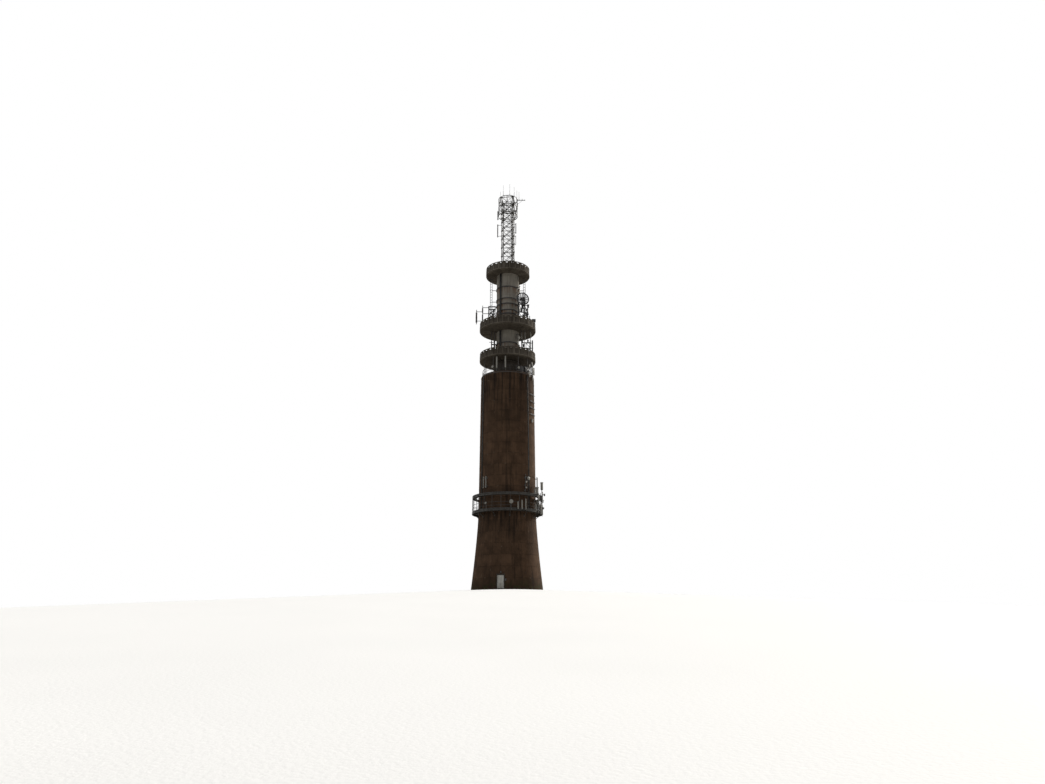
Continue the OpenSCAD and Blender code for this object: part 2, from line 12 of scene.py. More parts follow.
import bmesh
import bpy
from mathutils import Matrix, Vector


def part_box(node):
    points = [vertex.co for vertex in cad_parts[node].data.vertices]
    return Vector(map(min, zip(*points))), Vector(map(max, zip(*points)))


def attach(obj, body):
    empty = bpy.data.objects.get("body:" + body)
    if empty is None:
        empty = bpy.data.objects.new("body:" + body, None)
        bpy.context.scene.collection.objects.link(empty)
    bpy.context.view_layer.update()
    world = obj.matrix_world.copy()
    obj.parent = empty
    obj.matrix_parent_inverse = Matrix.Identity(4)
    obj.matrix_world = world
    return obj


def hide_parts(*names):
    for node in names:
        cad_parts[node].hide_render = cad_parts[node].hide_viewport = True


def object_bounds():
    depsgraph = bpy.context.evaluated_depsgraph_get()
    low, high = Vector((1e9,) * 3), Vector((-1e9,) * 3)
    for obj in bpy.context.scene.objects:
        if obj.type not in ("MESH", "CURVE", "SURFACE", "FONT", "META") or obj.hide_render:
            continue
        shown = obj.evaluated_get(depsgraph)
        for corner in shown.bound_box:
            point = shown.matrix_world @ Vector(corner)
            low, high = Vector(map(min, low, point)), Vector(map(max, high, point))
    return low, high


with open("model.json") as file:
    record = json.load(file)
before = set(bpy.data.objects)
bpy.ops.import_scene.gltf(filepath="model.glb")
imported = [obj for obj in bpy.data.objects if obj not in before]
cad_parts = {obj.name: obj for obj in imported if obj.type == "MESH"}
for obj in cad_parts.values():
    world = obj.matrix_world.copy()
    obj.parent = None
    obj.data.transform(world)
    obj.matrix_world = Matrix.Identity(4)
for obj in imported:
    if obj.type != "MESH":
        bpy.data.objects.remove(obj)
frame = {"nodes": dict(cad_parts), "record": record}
nodes = frame["nodes"]
cad_low, cad_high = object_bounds()
model_scale = 0.5
print(f"{len(nodes)} parts in the structure, {cad_high.z - cad_low.z:.2f} m tall")

# %% [markdown]
# ## Where the heights are
# Every piece that we add sits on a part of the structure, so we read its places from the boxes of
# those parts and name them once. Then nothing has to be fitted by eye later on.

# %% Named heights and radii
def low(name):
    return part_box(name)[0]


def high(name):
    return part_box(name)[1]


shaft_top_z = high("shaft_roof").z
shaft_top_r = high("shaft_roof").x
service_z = low("service_deck").z
service_r = high("service_deck").x
service_deck_z = high("service_deck").z
column_r = high("core_column").x
top_ring_z = low("top_ring_slab").z
top_ring_deck_z = high("top_ring_slab").z
mast_top_z = high("mast_legs").z
mast_half = high("mast_legs").x
near = -80          # bearing of the side that faces the camera, in degrees from +X
aerial_turn = 10    # bearing of the aerials' frames and of the mast's boom
print(f"shaft roof {shaft_top_z:.2f} m, service gallery {service_deck_z:.2f} m, mast top {mast_top_z:.2f} m")

# %% [markdown]
# ## The camera
# The photograph was taken with a wide phone lens from a path below the tower, tilted up. We give the
# camera the same lens, distance and tilt, so the rings are seen from below as they are there. The
# picture is taken to be 1045 x 784 pixels, and the tower stands a little left of its middle.

# %% Camera
picture_width_px = 1045
focal_px = 785
camera_distance = 64.6
camera_bearing = math.radians(near)
camera_height = -2.567
camera_tilt = math.radians(16.5)
camera_roll = math.radians(-0.17)
axis_left_px = 15.6

camera_data = bpy.data.cameras.new("Camera")
camera_data.sensor_width = 36
camera_data.lens = camera_data.sensor_width * focal_px / picture_width_px
camera = bpy.data.objects.new("Camera", camera_data)
bpy.context.scene.collection.objects.link(camera)
bpy.context.scene.camera = camera
camera.location = (camera_distance * math.cos(camera_bearing),
                   camera_distance * math.sin(camera_bearing), camera_height)
turn_right = math.atan2(axis_left_px, focal_px)
camera_heading = Matrix.Rotation(camera_bearing + math.radians(90) - turn_right, 4, "Z")
camera_pitch = Matrix.Rotation(math.radians(90) + camera_tilt, 4, "X")
camera.rotation_euler = (camera_heading @ camera_pitch @ Matrix.Rotation(camera_roll, 4, "Z")).to_euler()
camera_data.clip_start, camera_data.clip_end = 1, 2000
print(f"lens {camera_data.lens:.1f} mm, {camera_distance} m from the tower's middle")

# %% [markdown]
# ## Floor and background
# The floor is a plain pale hill. It is level under the tower and falls away all round, because the
# photographer stands lower than the tower's foot, and a level floor would hide the camera. A ring of
# faces is extruded outwards in steps, which an operator does well and which keeps the fall smooth.
# The background is white to the camera and to reflections, through Light Path, so no lamp has to
# light it. First come helpers for editing. They pick what passes a test and inset it, since an operator
# acts on what is selected.

# %% Helpers for editing meshes
def clear_selection():
    """Object mode with nothing selected, so that the next operator acts on new things only."""
    if bpy.context.object and bpy.context.object.mode != "OBJECT":
        bpy.ops.object.mode_set(mode="OBJECT")
    bpy.ops.object.select_all(action="DESELECT")


def only(obj):
    """Selects this object alone and makes it the active one."""
    clear_selection()
    obj.select_set(True)
    bpy.context.view_layer.objects.active = obj


def edit(obj):
    only(obj)
    bpy.ops.object.mode_set(mode="EDIT")


def done():
    bpy.ops.object.mode_set(mode="OBJECT")
    return bpy.context.object


def pick(kind, test):
    """In edit mode, selects the "verts", "edges" or "faces" whose middle and normal pass the test."""
    mesh = bmesh.from_edit_mesh(bpy.context.object.data)
    for part in (*mesh.verts, *mesh.edges, *mesh.faces):
        part.select = False
    for part in getattr(mesh, kind):
        if kind == "verts":
            middle = part.co
        else:
            middle = sum((v.co for v in part.verts), Vector()) / len(part.verts)
        normal = part.normal if kind == "faces" else None
        if test(middle, normal):
            part.select = True
    mesh.select_flush_mode()
    bmesh.update_edit_mesh(bpy.context.object.data)


def edit_all(obj):
    """Edit mode with the whole mesh selected."""
    edit(obj)
    bpy.ops.mesh.select_all(action="SELECT")


def towards(x=0, z=0):
    """A test for faces that look along X or Z, in the direction of the sign given."""
    return lambda middle, normal: normal.x * x + normal.z * z > 0.9


def inset_faces(test, *steps, each=False):
    """In edit mode, insets the faces that pass the test, once for every (thickness, depth)."""
    pick("faces", test)
    for thickness, depth in steps:
        bpy.ops.mesh.inset(thickness=thickness, depth=depth, use_individual=each)


print("helpers ready")

# %% Floor
hill_top_r = 3.4
hill_fall = 0.055
hill_steps = (6, 12, 25, 60, 140, 320, 620)
clear_selection()
bpy.ops.mesh.primitive_circle_add(vertices=96, radius=hill_top_r, fill_type="NGON")
floor = bpy.context.object
floor.name = "floor"
edit_all(floor)
bpy.ops.mesh.inset(thickness=0.2, depth=0)
pick("edges", lambda middle, normal: middle.length > hill_top_r - 0.05)
radius = hill_top_r
for step in hill_steps:
    bpy.ops.mesh.extrude_edges_move()
    bpy.ops.transform.resize(value=(step / radius, step / radius, 1), center_override=(0, 0, 0))
    bpy.ops.transform.translate(value=(0, 0, -(step - radius) * hill_fall))
    radius = step
done()
bpy.ops.object.shade_smooth()
print(f"floor reaches {radius} m and falls {hill_fall:.1%}")

# %% [markdown]
# ## Building materials from nodes
# A material is a small network of shader nodes. A few helpers keep the networks short to write. The
# first adds a node and links or sets its inputs. The others wrap the nodes used most, which are
# mathematics, noise, a soft threshold and a blend of two colours, and make and place node groups.

# %% Helpers for shader nodes
def add_node(tree, kind, inputs=None, **settings):
    """Adds a shader node. An input may be given as a plain value or as the socket that feeds it."""
    made = tree.nodes.new(kind)
    for key, value in settings.items():
        setattr(made, key, value)
    for key, value in (inputs or {}).items():
        if isinstance(value, bpy.types.NodeSocket):
            tree.links.new(value, made.inputs[key])
        else:
            made.inputs[key].default_value = value
    return made


def maths(tree, operation, a, b=0.0):
    return add_node(tree, "ShaderNodeMath", {0: a, 1: b}, operation=operation).outputs[0]


def noise(tree, place, scale, detail=4.0, roughness=0.55):
    inputs = {"Vector": place, "Scale": scale, "Detail": detail, "Roughness": roughness}
    return add_node(tree, "ShaderNodeTexNoise", inputs).outputs["Fac"]


def threshold(tree, value, start, end, to_start=0.0, to_end=1.0):
    """Rises smoothly from to_start to to_end while the value goes from start to end."""
    inputs = {"Value": value, "From Min": start, "From Max": end, "To Min": to_start, "To Max": to_end}
    return add_node(tree, "ShaderNodeMapRange", inputs, interpolation_type="SMOOTHSTEP").outputs["Result"]


def blend(tree, amount, a, b, blend_type="MIX"):
    """Mixes two colours. a and b are sockets, or (red, green, blue)."""
    mix = add_node(tree, "ShaderNodeMix", {"Factor": amount}, data_type="RGBA", blend_type=blend_type)
    for socket, colour in ((mix.inputs[6], a), (mix.inputs[7], b)):
        if isinstance(colour, bpy.types.NodeSocket):
            tree.links.new(colour, socket)
        else:
            socket.default_value = (*colour, 1)
    return mix.outputs[2]


def layer(tree, colour, mask, strength, over):
    """Lays a second colour over the first where the mask says so, at most as strongly as strength."""
    return blend(tree, maths(tree, "MULTIPLY", mask, strength), colour, over)


def new_group(name, inputs, outputs):
    """An empty node group with named sockets. inputs: {name: plain number, or None for a vector}."""
    tree = bpy.data.node_groups.new(name, "ShaderNodeTree")
    for label, value in inputs.items():
        kind = "NodeSocketVector" if value is None else "NodeSocketFloat"
        socket = tree.interface.new_socket(name=label, in_out="INPUT", socket_type=kind)
        if value is not None:
            socket.default_value = value
    for label in outputs:
        tree.interface.new_socket(name=label, in_out="OUTPUT", socket_type="NodeSocketFloat")
    return tree, tree.nodes.new("NodeGroupInput").outputs, tree.nodes.new("NodeGroupOutput").inputs


def use_group(tree, group, **inputs):
    """Places a group in a material and returns its outputs."""
    return add_node(tree, "ShaderNodeGroup", inputs, node_tree=group).outputs


def stretched(tree, place, x, y, z):
    """Scales the coordinates unequally. A small z draws a pattern out into upright streaks."""
    scale = add_node(tree, "ShaderNodeCombineXYZ", {"X": x, "Y": y, "Z": z}).outputs[0]
    inputs = {0: place, 1: scale}
    return add_node(tree, "ShaderNodeVectorMath", inputs, operation="MULTIPLY").outputs[0]


print("shader helpers ready")

# %% [markdown]
# ## Weathering that several materials share
# Rain draws dirt into upright runs on concrete, paint and plastic alike. Such an effect is built once
# as a node group, with its sizes as inputs, and each material places it with its own values. A group
# gives out masks from 0 to 1 that change over the surface, and the material decides which colour each
# mask brings. All of them read Object coordinates. Every piece has its origin at the foot of the
# tower, so a pattern runs on from one piece to the next without a seam.

# %% Group: upright runs of dirt
runs_group, given, give = new_group(
    "rain_runs", {"Place": None, "Across": 7.0, "Along": 0.5, "Start": 0.5, "End": 0.72}, ["Mask"])
tree = runs_group
squeezed = stretched(tree, given["Place"], given["Across"], given["Across"], given["Along"])
broad = noise(tree, squeezed, 1.0, detail=3.0)
fine = noise(tree, squeezed, 3.3, detail=2.0)
both = maths(tree, "ADD", maths(tree, "MULTIPLY", broad, 0.65), maths(tree, "MULTIPLY", fine, 0.35))
tree.links.new(threshold(tree, both, given["Start"], given["End"]), give["Mask"])
print("group:", runs_group.name)

# %% Group: lifts of cast concrete
# A round tower is cast in lifts, each in a ring of shutters. Every shutter leaves a panel of its own
# tone, with a joint all round it and the marks of upright boards.
lifts_group, given, give = new_group(
    "cast_lifts", {"Place": None, "Lift": 0.9, "Panels": 20.0, "Radius": 2.4, "Joint": 0.012, "Boards": 8.0},
    ["Tone", "Joint", "Board"])
tree = lifts_group
axes = add_node(tree, "ShaderNodeSeparateXYZ", {"Vector": given["Place"]}).outputs
turn = maths(tree, "DIVIDE", maths(tree, "ARCTAN2", axes["Y"], axes["X"]), 2 * math.pi)
course = maths(tree, "DIVIDE", axes["Z"], given["Lift"])
shutter = maths(tree, "MULTIPLY", turn, given["Panels"])
cell = add_node(tree, "ShaderNodeCombineXYZ",
                {"X": maths(tree, "FLOOR", course), "Y": maths(tree, "FLOOR", shutter)}).outputs[0]
tone = add_node(tree, "ShaderNodeTexWhiteNoise", {"Vector": cell}, noise_dimensions="3D").outputs["Value"]
tree.links.new(tone, give["Tone"])


def joint_mask(position, cell_size, width):
    """1 on the joint between two cells, falling to 0 at the given width from it."""
    from_middle = maths(tree, "ABSOLUTE", maths(tree, "SUBTRACT", maths(tree, "FRACT", position), 0.5))
    to_joint = maths(tree, "MULTIPLY", maths(tree, "SUBTRACT", 0.5, from_middle), cell_size)
    return threshold(tree, to_joint, width, 0.0)


round_size = maths(tree, "DIVIDE", maths(tree, "MULTIPLY", given["Radius"], 2 * math.pi), given["Panels"])
level_joint = joint_mask(course, given["Lift"], given["Joint"])
upright_joint = maths(tree, "MULTIPLY", joint_mask(shutter, round_size, given["Joint"]), 0.6)
tree.links.new(maths(tree, "MAXIMUM", level_joint, upright_joint), give["Joint"])
board = maths(tree, "MULTIPLY", shutter, given["Boards"])
board_cell = add_node(tree, "ShaderNodeCombineXYZ",
                      {"X": maths(tree, "FLOOR", board), "Y": maths(tree, "FLOOR", course)}).outputs[0]
board_tone = add_node(tree, "ShaderNodeTexWhiteNoise", {"Vector": board_cell}).outputs["Value"]
tree.links.new(board_tone, give["Board"])
print("group:", lifts_group.name)

# %% Group: grain and pits
grain_group, given, give = new_group("grain", {"Place": None, "Size": 0.01}, ["Cloud", "Grit", "Pits"])
tree = grain_group
frequency = maths(tree, "DIVIDE", 1.0, given["Size"])
cloud = noise(tree, given["Place"], maths(tree, "DIVIDE", frequency, 60.0), detail=6.0)
tree.links.new(cloud, give["Cloud"])
tree.links.new(noise(tree, given["Place"], frequency, detail=3.0, roughness=0.7), give["Grit"])
pit_cells = {"Vector": given["Place"], "Scale": maths(tree, "DIVIDE", frequency, 4.0)}
cells = add_node(tree, "ShaderNodeTexVoronoi", pit_cells).outputs["Distance"]
tree.links.new(threshold(tree, cells, 0.16, 0.05), give["Pits"])
print("group:", grain_group.name)

# %% Group: stain below a height
# What drips off a ledge leaves a stain that is strongest right under it and fades going down.
below_group, given, give = new_group("stain_below", {"Place": None, "Ledge": 1.0, "Reach": 1.0}, ["Mask"])
tree = below_group
height = add_node(tree, "ShaderNodeSeparateXYZ", {"Vector": given["Place"]}).outputs["Z"]
depth = maths(tree, "SUBTRACT", given["Ledge"], height)
fading = threshold(tree, depth, given["Reach"], 0.0)
tree.links.new(maths(tree, "MULTIPLY", fading, maths(tree, "GREATER_THAN", depth, 0.0)), give["Mask"])
print("group:", below_group.name)

# %% Group: worn edges
# The Bevel node bends the surface normal near an edge. How far it leans from the true normal says how
# near the edge is, which is where paint chips and zinc wears through.
edge_group, given, give = new_group("worn_edges", {"Place": None, "Width": 0.012, "Breakup": 30.0}, ["Mask"])
tree = edge_group
rounded = add_node(tree, "ShaderNodeBevel", {"Radius": given["Width"]}, samples=4).outputs["Normal"]
surface = tree.nodes.new("ShaderNodeNewGeometry").outputs["Normal"]
facing = add_node(tree, "ShaderNodeVectorMath", {0: rounded, 1: surface}, operation="DOT_PRODUCT")
lean = maths(tree, "SUBTRACT", 1.0, facing.outputs["Value"])
ragged = maths(tree, "MULTIPLY", noise(tree, given["Place"], given["Breakup"], detail=3.0), 0.22)
tree.links.new(threshold(tree, maths(tree, "SUBTRACT", lean, ragged), 0.0, 0.10), give["Mask"])
print("group:", edge_group.name)

# %% [markdown]
# ## Concrete
# The shaft is brown weathered concrete, nearly black where rain has washed soot over it. The panels of
# the lifts differ a little, lime has bled white from some joints, dirt runs down below the gallery and
# the roof's edge, and the foot is damp with a green edge. The column under the top ring is of a much
# paler mix, with rust below its steel bands. Its foot, under the lower ring, is darkened as painted
# shade. One function makes both mixes.

# %% Concrete materials
def start_material(name):
    material = bpy.data.materials.new(name)
    material.use_nodes = True
    tree = material.node_tree
    place = tree.nodes.new("ShaderNodeTexCoord").outputs["Object"]
    return material, tree, tree.nodes["Principled BSDF"], place


def plug(tree, shader, colour, roughness, height, depth):
    """Joins the finished colour, roughness and bump height to the shader."""
    tree.links.new(colour, shader.inputs["Base Color"])
    tree.links.new(roughness, shader.inputs["Roughness"])
    bump = add_node(tree, "ShaderNodeBump", {"Height": height, "Distance": depth, "Strength": 1.0})
    tree.links.new(bump.outputs["Normal"], shader.inputs["Normal"])


def concrete(name, light, dark, soot, lime, lift, panels, radius, ledges, ledge_reach, ledge_colour,
             soot_share, shaded_foot_top=0.0):
    """light, dark: tones of the panels. soot, lime: what runs over them. ledges: heights that drip, each
    down to its ledge_reach. The last argument: height up to which a column's foot is painted shade."""
    material, tree, shader, place = start_material(name)
    shader.inputs["Specular IOR Level"].default_value = 0.06
    lifts = use_group(tree, lifts_group, Place=place, Lift=lift, Panels=panels, Radius=radius)
    grain = use_group(tree, grain_group, Place=place, Size=0.012)
    washed = use_group(tree, runs_group, Place=place, Across=2.4, Along=0.12,
                       Start=0.62 - soot_share, End=0.80 - soot_share)["Mask"]
    thin_runs = use_group(tree, runs_group, Place=place, Across=9.0, Along=0.35, Start=0.54, End=0.66)["Mask"]
    tone = maths(tree, "ADD", maths(tree, "MULTIPLY", lifts["Tone"], 0.45),
                 maths(tree, "MULTIPLY", threshold(tree, grain["Cloud"], 0.35, 0.65), 0.55))
    colour = blend(tree, tone, dark, light)
    colour = layer(tree, colour, lifts["Board"], 0.18, dark)
    colour = layer(tree, colour, washed, 0.75, soot)
    colour = layer(tree, colour, thin_runs, 0.35, soot)
    drips = use_group(tree, runs_group, Place=place, Across=6.0, Along=0.2, Start=0.40, End=0.62)["Mask"]
    for ledge, reach in zip(ledges, ledge_reach):
        under = use_group(tree, below_group, Place=place, Ledge=ledge, Reach=reach)["Mask"]
        colour = layer(tree, colour, under, drips, ledge_colour)
    bleeding = maths(tree, "MULTIPLY", threshold(tree, noise(tree, place, 2.2, detail=5.0), 0.56, 0.70), 0.55)
    near_joint = use_group(tree, lifts_group, Place=place, Lift=lift, Panels=panels, Radius=radius,
                           Joint=0.07)
    colour = layer(tree, colour, near_joint["Joint"], bleeding, lime)
    colour = layer(tree, colour, lifts["Joint"], 0.7, soot)
    colour = layer(tree, colour, grain["Pits"], 0.6, soot)
    colour = layer(tree, colour, grain["Grit"], 0.25, dark)
    level = add_node(tree, "ShaderNodeSeparateXYZ", {"Vector": place}).outputs["Z"]
    rising = threshold(tree, level, 1.0, 0.05)
    moss = maths(tree, "MULTIPLY", rising, threshold(tree, noise(tree, place, 4.0, detail=6.0), 0.42, 0.62))
    colour = layer(tree, colour, rising, 0.45, soot)
    colour = layer(tree, colour, moss, 0.6, moss_green)
    # Painted shade: below the given height the column is blended towards a dark colour, as the shade under
    # the lower ring.
    if shaded_foot_top:
        painted_foot_shade = threshold(tree, maths(tree, "ADD", level, maths(tree, "MULTIPLY", grain["Cloud"], 0.5)),
                          shaded_foot_top + 0.55, shaded_foot_top + 0.10, 0.0, 0.85)
        colour = blend(tree, painted_foot_shade, colour, foot_shade)
    roughness = threshold(tree, maths(tree, "ADD", grain["Grit"], maths(tree, "MULTIPLY", washed, 0.4)),
                          0.2, 1.3, 0.96, 0.72)
    height = maths(tree, "ADD", maths(tree, "MULTIPLY", grain["Grit"], 0.22),
                   maths(tree, "MULTIPLY", lifts["Board"], 0.35))
    height = maths(tree, "SUBTRACT", height, maths(tree, "MULTIPLY", lifts["Joint"], 0.9))
    height = maths(tree, "SUBTRACT", height, maths(tree, "MULTIPLY", grain["Pits"], 0.5))
    plug(tree, shader, colour, roughness, height, 0.012)
    return material


# The second colour is the painted shade for the column's foot.
moss_green, foot_shade = (0.045, 0.055, 0.022), (0.040, 0.032, 0.026)
gallery_ledges = (service_z, shaft_top_z - 0.17)
band_ledges = (20.75, 23.75, 24.35, 24.85, 25.95)
shaft_concrete = concrete(
    "shaft_concrete", light=(0.138, 0.084, 0.053), dark=(0.064, 0.040, 0.026), soot=(0.017, 0.012, 0.010),
    lime=(0.29, 0.225, 0.165), lift=0.9, panels=20.0, radius=2.4, ledges=gallery_ledges,
    ledge_reach=(2.6, 5.5), ledge_colour=(0.018, 0.014, 0.012), soot_share=0.10)
column_concrete = concrete(
    "column_concrete", light=(0.38, 0.36, 0.325), dark=(0.235, 0.222, 0.198), soot=(0.080, 0.072, 0.062),
    lime=(0.50, 0.485, 0.45), lift=0.9, panels=10.0, radius=column_r, ledges=band_ledges,
    ledge_reach=(1.0, 1.0, 0.5, 0.4, 1.0), ledge_colour=(0.16, 0.075, 0.035), soot_share=0.04,
    shaded_foot_top=19.1)
print("concrete:", shaft_concrete.name, column_concrete.name)

# %% [markdown]
# ## Steel, aerial covers, door paint and cable rubber
# Hot-dip zinc goes dull and patchy outdoors: crystals of slightly different grey, white bloom, and
# rust where it has worn off the edges and bolts. On the service gallery and the mast a second copy of
# the zinc, weathered like the first, is darkened nearly to black as painted shade, for steel that stands
# against the light. The frames are painted dark, and chip at their edges. Aerial covers are moulded
# plastic that has gone chalky, with grime running down from the top. All of these are one recipe with
# other colours: a patchy base, small-scale speckle, runs, and a second layer that shows through at worn
# edges and in spots.

# %% Steel, plastic and paint materials
def weathered(name, light, dark, speck, grime, under, speck_size, runs, spots, edges, gloss, dull, metal=0.0,
              shine=0.25, depth=0.002, edge_width=0.010):
    """light, dark: patchy base. speck: small grains. grime: runs of dirt. under: rust or primer below."""
    material, tree, shader, place = start_material(name)
    shader.inputs["Metallic"].default_value = metal
    shader.inputs["Specular IOR Level"].default_value = shine
    patches = threshold(tree, noise(tree, place, 1.7, detail=6.0), 0.34, 0.66)
    colour = blend(tree, patches, dark, light)
    crystal = add_node(tree, "ShaderNodeTexVoronoi", {"Vector": place, "Scale": 1.0 / speck_size})
    grain_tone = add_node(tree, "ShaderNodeSeparateColor", {"Color": crystal.outputs["Color"]}).outputs[0]
    colour = layer(tree, colour, grain_tone, 0.35, speck)
    run_mask = use_group(tree, runs_group, Place=place, Across=14.0, Along=1.1, Start=0.46, End=0.70)["Mask"]
    colour = layer(tree, colour, run_mask, runs, grime)
    spot = threshold(tree, noise(tree, place, 6.0, detail=9.0, roughness=0.68), 0.76 - spots, 0.83 - spots)
    worn = use_group(tree, edge_group, Place=place, Width=edge_width)["Mask"]
    shows = maths(tree, "MINIMUM", maths(tree, "ADD", spot, maths(tree, "MULTIPLY", worn, edges)), 1.0)
    rust_tone = noise(tree, place, 40.0, detail=4.0)
    below = blend(tree, rust_tone, [0.45 * part for part in under], [1.5 * part for part in under])
    colour = blend(tree, shows, colour, below)
    grit = noise(tree, place, 0.6 / speck_size, detail=3.0)
    uneven = maths(tree, "ADD", maths(tree, "MULTIPLY", grit, 0.4), maths(tree, "MULTIPLY", patches, 0.6))
    roughness = threshold(tree, maths(tree, "ADD", uneven, maths(tree, "ADD", shows, run_mask)), 0.1, 1.5,
                          gloss, dull)
    height = maths(tree, "SUBTRACT", maths(tree, "MULTIPLY", grit, 0.4), maths(tree, "MULTIPLY", shows, 0.6))
    plug(tree, shader, colour, roughness, height, depth)
    return material


rust = (0.145, 0.058, 0.024)
zinc = weathered("dull_zinc", light=(0.170, 0.174, 0.178), dark=(0.090, 0.092, 0.094),
                 speck=(0.24, 0.244, 0.248), grime=(0.060, 0.052, 0.043), under=rust, speck_size=0.02,
                 runs=0.55, spots=0.10, edges=0.25, gloss=0.46, dull=0.80, metal=0.15)
dark_paint = weathered("dark_steel_paint", light=(0.075, 0.076, 0.080), dark=(0.038, 0.038, 0.041),
                       speck=(0.11, 0.11, 0.115), grime=(0.030, 0.026, 0.022), under=rust, speck_size=0.012,
                       runs=0.5, spots=0.12, edges=0.40, gloss=0.38, dull=0.72, edge_width=0.004)
# Painted shade: a copy of the zinc darkened nearly to black, for the steel of the gallery and the mast.
shade_dark_zinc = weathered("shade_darkened_zinc", light=(0.082, 0.080, 0.077), dark=(0.042, 0.040, 0.037),
                     speck=(0.12, 0.118, 0.114), grime=(0.030, 0.024, 0.018), under=rust, speck_size=0.02,
                     runs=0.55, spots=0.12, edges=0.30, gloss=0.52, dull=0.84, metal=0.1, edge_width=0.005)
cover_plastic = weathered("aerial_cover_plastic", light=(0.42, 0.415, 0.39), dark=(0.30, 0.295, 0.27),
                          speck=(0.36, 0.355, 0.33), grime=(0.11, 0.10, 0.085), under=(0.30, 0.28, 0.21),
                          speck_size=0.008, runs=0.62, spots=0.06, edges=0.35, gloss=0.45, dull=0.74)
door_coat = weathered("worn_door_coat", light=(0.70, 0.70, 0.66), dark=(0.57, 0.57, 0.53),
                      speck=(0.63, 0.63, 0.59), grime=(0.19, 0.165, 0.13), under=rust, speck_size=0.006,
                      runs=0.5, spots=0.08, edges=0.75, gloss=0.35, dull=0.66, depth=0.001,
                      edge_width=0.006)
cable_rubber = weathered("cable_rubber", light=(0.035, 0.035, 0.036), dark=(0.016, 0.016, 0.017),
                         speck=(0.05, 0.049, 0.047), grime=(0.09, 0.082, 0.07), under=(0.06, 0.056, 0.05),
                         speck_size=0.006, runs=0.35, spots=0.04, edges=0.2, gloss=0.5, dull=0.8)
print("materials:", zinc.name, dark_paint.name, shade_dark_zinc.name, cover_plastic.name, door_coat.name,
      cable_rubber.name)

# %% [markdown]
# ## Giving the structure its finishes
# The parts come with one plain material per slot. We put our material in the same slot of each part.
# The ring galleries are of darker concrete like the shaft, but have been washed greyer, so they get a
# mix of their own, and the rims that we add to them later a paler one.

# %% Finishes on the structure
block_heads = [high(ring + "_ring_parapet").z + 0.002 for ring in ("lower", "middle", "top")]
ring_concrete = concrete(
    "ring_concrete", light=(0.165, 0.148, 0.126), dark=(0.074, 0.064, 0.052), soot=(0.022, 0.019, 0.016),
    lime=(0.42, 0.385, 0.315), lift=20.0, panels=32.0, radius=2.4, ledges=block_heads,
    ledge_reach=(0.9, 0.9, 0.9), ledge_colour=(0.045, 0.038, 0.030), soot_share=0.08)
rim_concrete = concrete(
    "rim_concrete", light=(0.27, 0.243, 0.207), dark=(0.125, 0.110, 0.092), soot=(0.030, 0.026, 0.022),
    lime=(0.46, 0.42, 0.35), lift=20.0, panels=32.0, radius=2.4, ledges=block_heads,
    ledge_reach=(0.5, 0.5, 0.5), ledge_colour=(0.055, 0.047, 0.038), soot_share=0.05)
finish_of_slot = {"concrete": shaft_concrete, "pale_concrete": column_concrete, "galvanised_steel": zinc,
                  "dark_steel": dark_paint, "aerial_plastic": cover_plastic, "door_paint": door_coat}
for record in frame["record"]["subparts"]:
    part = nodes[record["node"]]
    finish = finish_of_slot[record["material_slot"]]
    if "_ring_" in record["node"] and record["material_slot"] == "concrete":
        finish = ring_concrete
    # The service gallery and the mast take the zinc that is darkened as painted shade.
    elif record["node"].startswith(("service_", "mast_")):
        finish = shade_dark_zinc
    for place in part.material_slots:
        place.material = finish
print(len(nodes), "parts finished")

# %% [markdown]
# ## Floor finish, sky and lamps
# The floor is a pale matt ground with a faint mottle. To the camera it also glows a little, so that it
# runs into the white background, while the tower's shadow on it stays. What it throws back up on the
# tower is that of dry grass, or the undersides of the rings would be far too bright. The sun is low and
# stands at the right, a little behind, so that most of the shaft is in shade and its right edge is lit.
# Its wide angle makes it as soft as a studio lamp, and a weak lamp at the left stands for the sky.

# %% Floor finish
floor_material, tree, shader, place = start_material("pale_ground")
mottle = threshold(tree, noise(tree, place, 0.35, detail=5.0), 0.3, 0.7)
fine_mottle = noise(tree, place, 30.0, detail=2.0)
seen_directly = tree.nodes.new("ShaderNodeLightPath").outputs["Is Camera Ray"]
pale_ground, paler_ground, dry_grass = (0.80, 0.80, 0.79), (0.84, 0.84, 0.83), (0.40, 0.38, 0.34)
ground = blend(tree, mottle, pale_ground, paler_ground)
ground = blend(tree, seen_directly, dry_grass, ground)
plug(tree, shader, ground, threshold(tree, mottle, 0.0, 1.0, 0.85, 0.95), fine_mottle, 0.004)
shader.inputs["Emission Color"].default_value = (1, 1, 1, 1)
tree.links.new(maths(tree, "MULTIPLY", seen_directly, 0.25), shader.inputs["Emission Strength"])
floor.data.materials.append(floor_material)
print("floor finish:", floor_material.name)

# %% Sky
sky_on_tower, sky_in_view = 0.32, 1.0
world = bpy.data.worlds.new("World")
bpy.context.scene.world = world
world.use_nodes = True
tree = world.node_tree
background = tree.nodes["Background"]
background.inputs["Color"].default_value = (1, 1, 1, 1)
path = tree.nodes.new("ShaderNodeLightPath").outputs
shown = maths(tree, "MAXIMUM", path["Is Camera Ray"],
              maths(tree, "MAXIMUM", path["Is Glossy Ray"], path["Is Transmission Ray"]))
strength = threshold(tree, shown, 0.0, 1.0, sky_on_tower, sky_in_view)
tree.links.new(strength, background.inputs["Strength"])
bpy.context.scene.view_settings.view_transform = "Standard"
print(f"sky: strength {sky_on_tower} on the tower, {sky_in_view} in view")

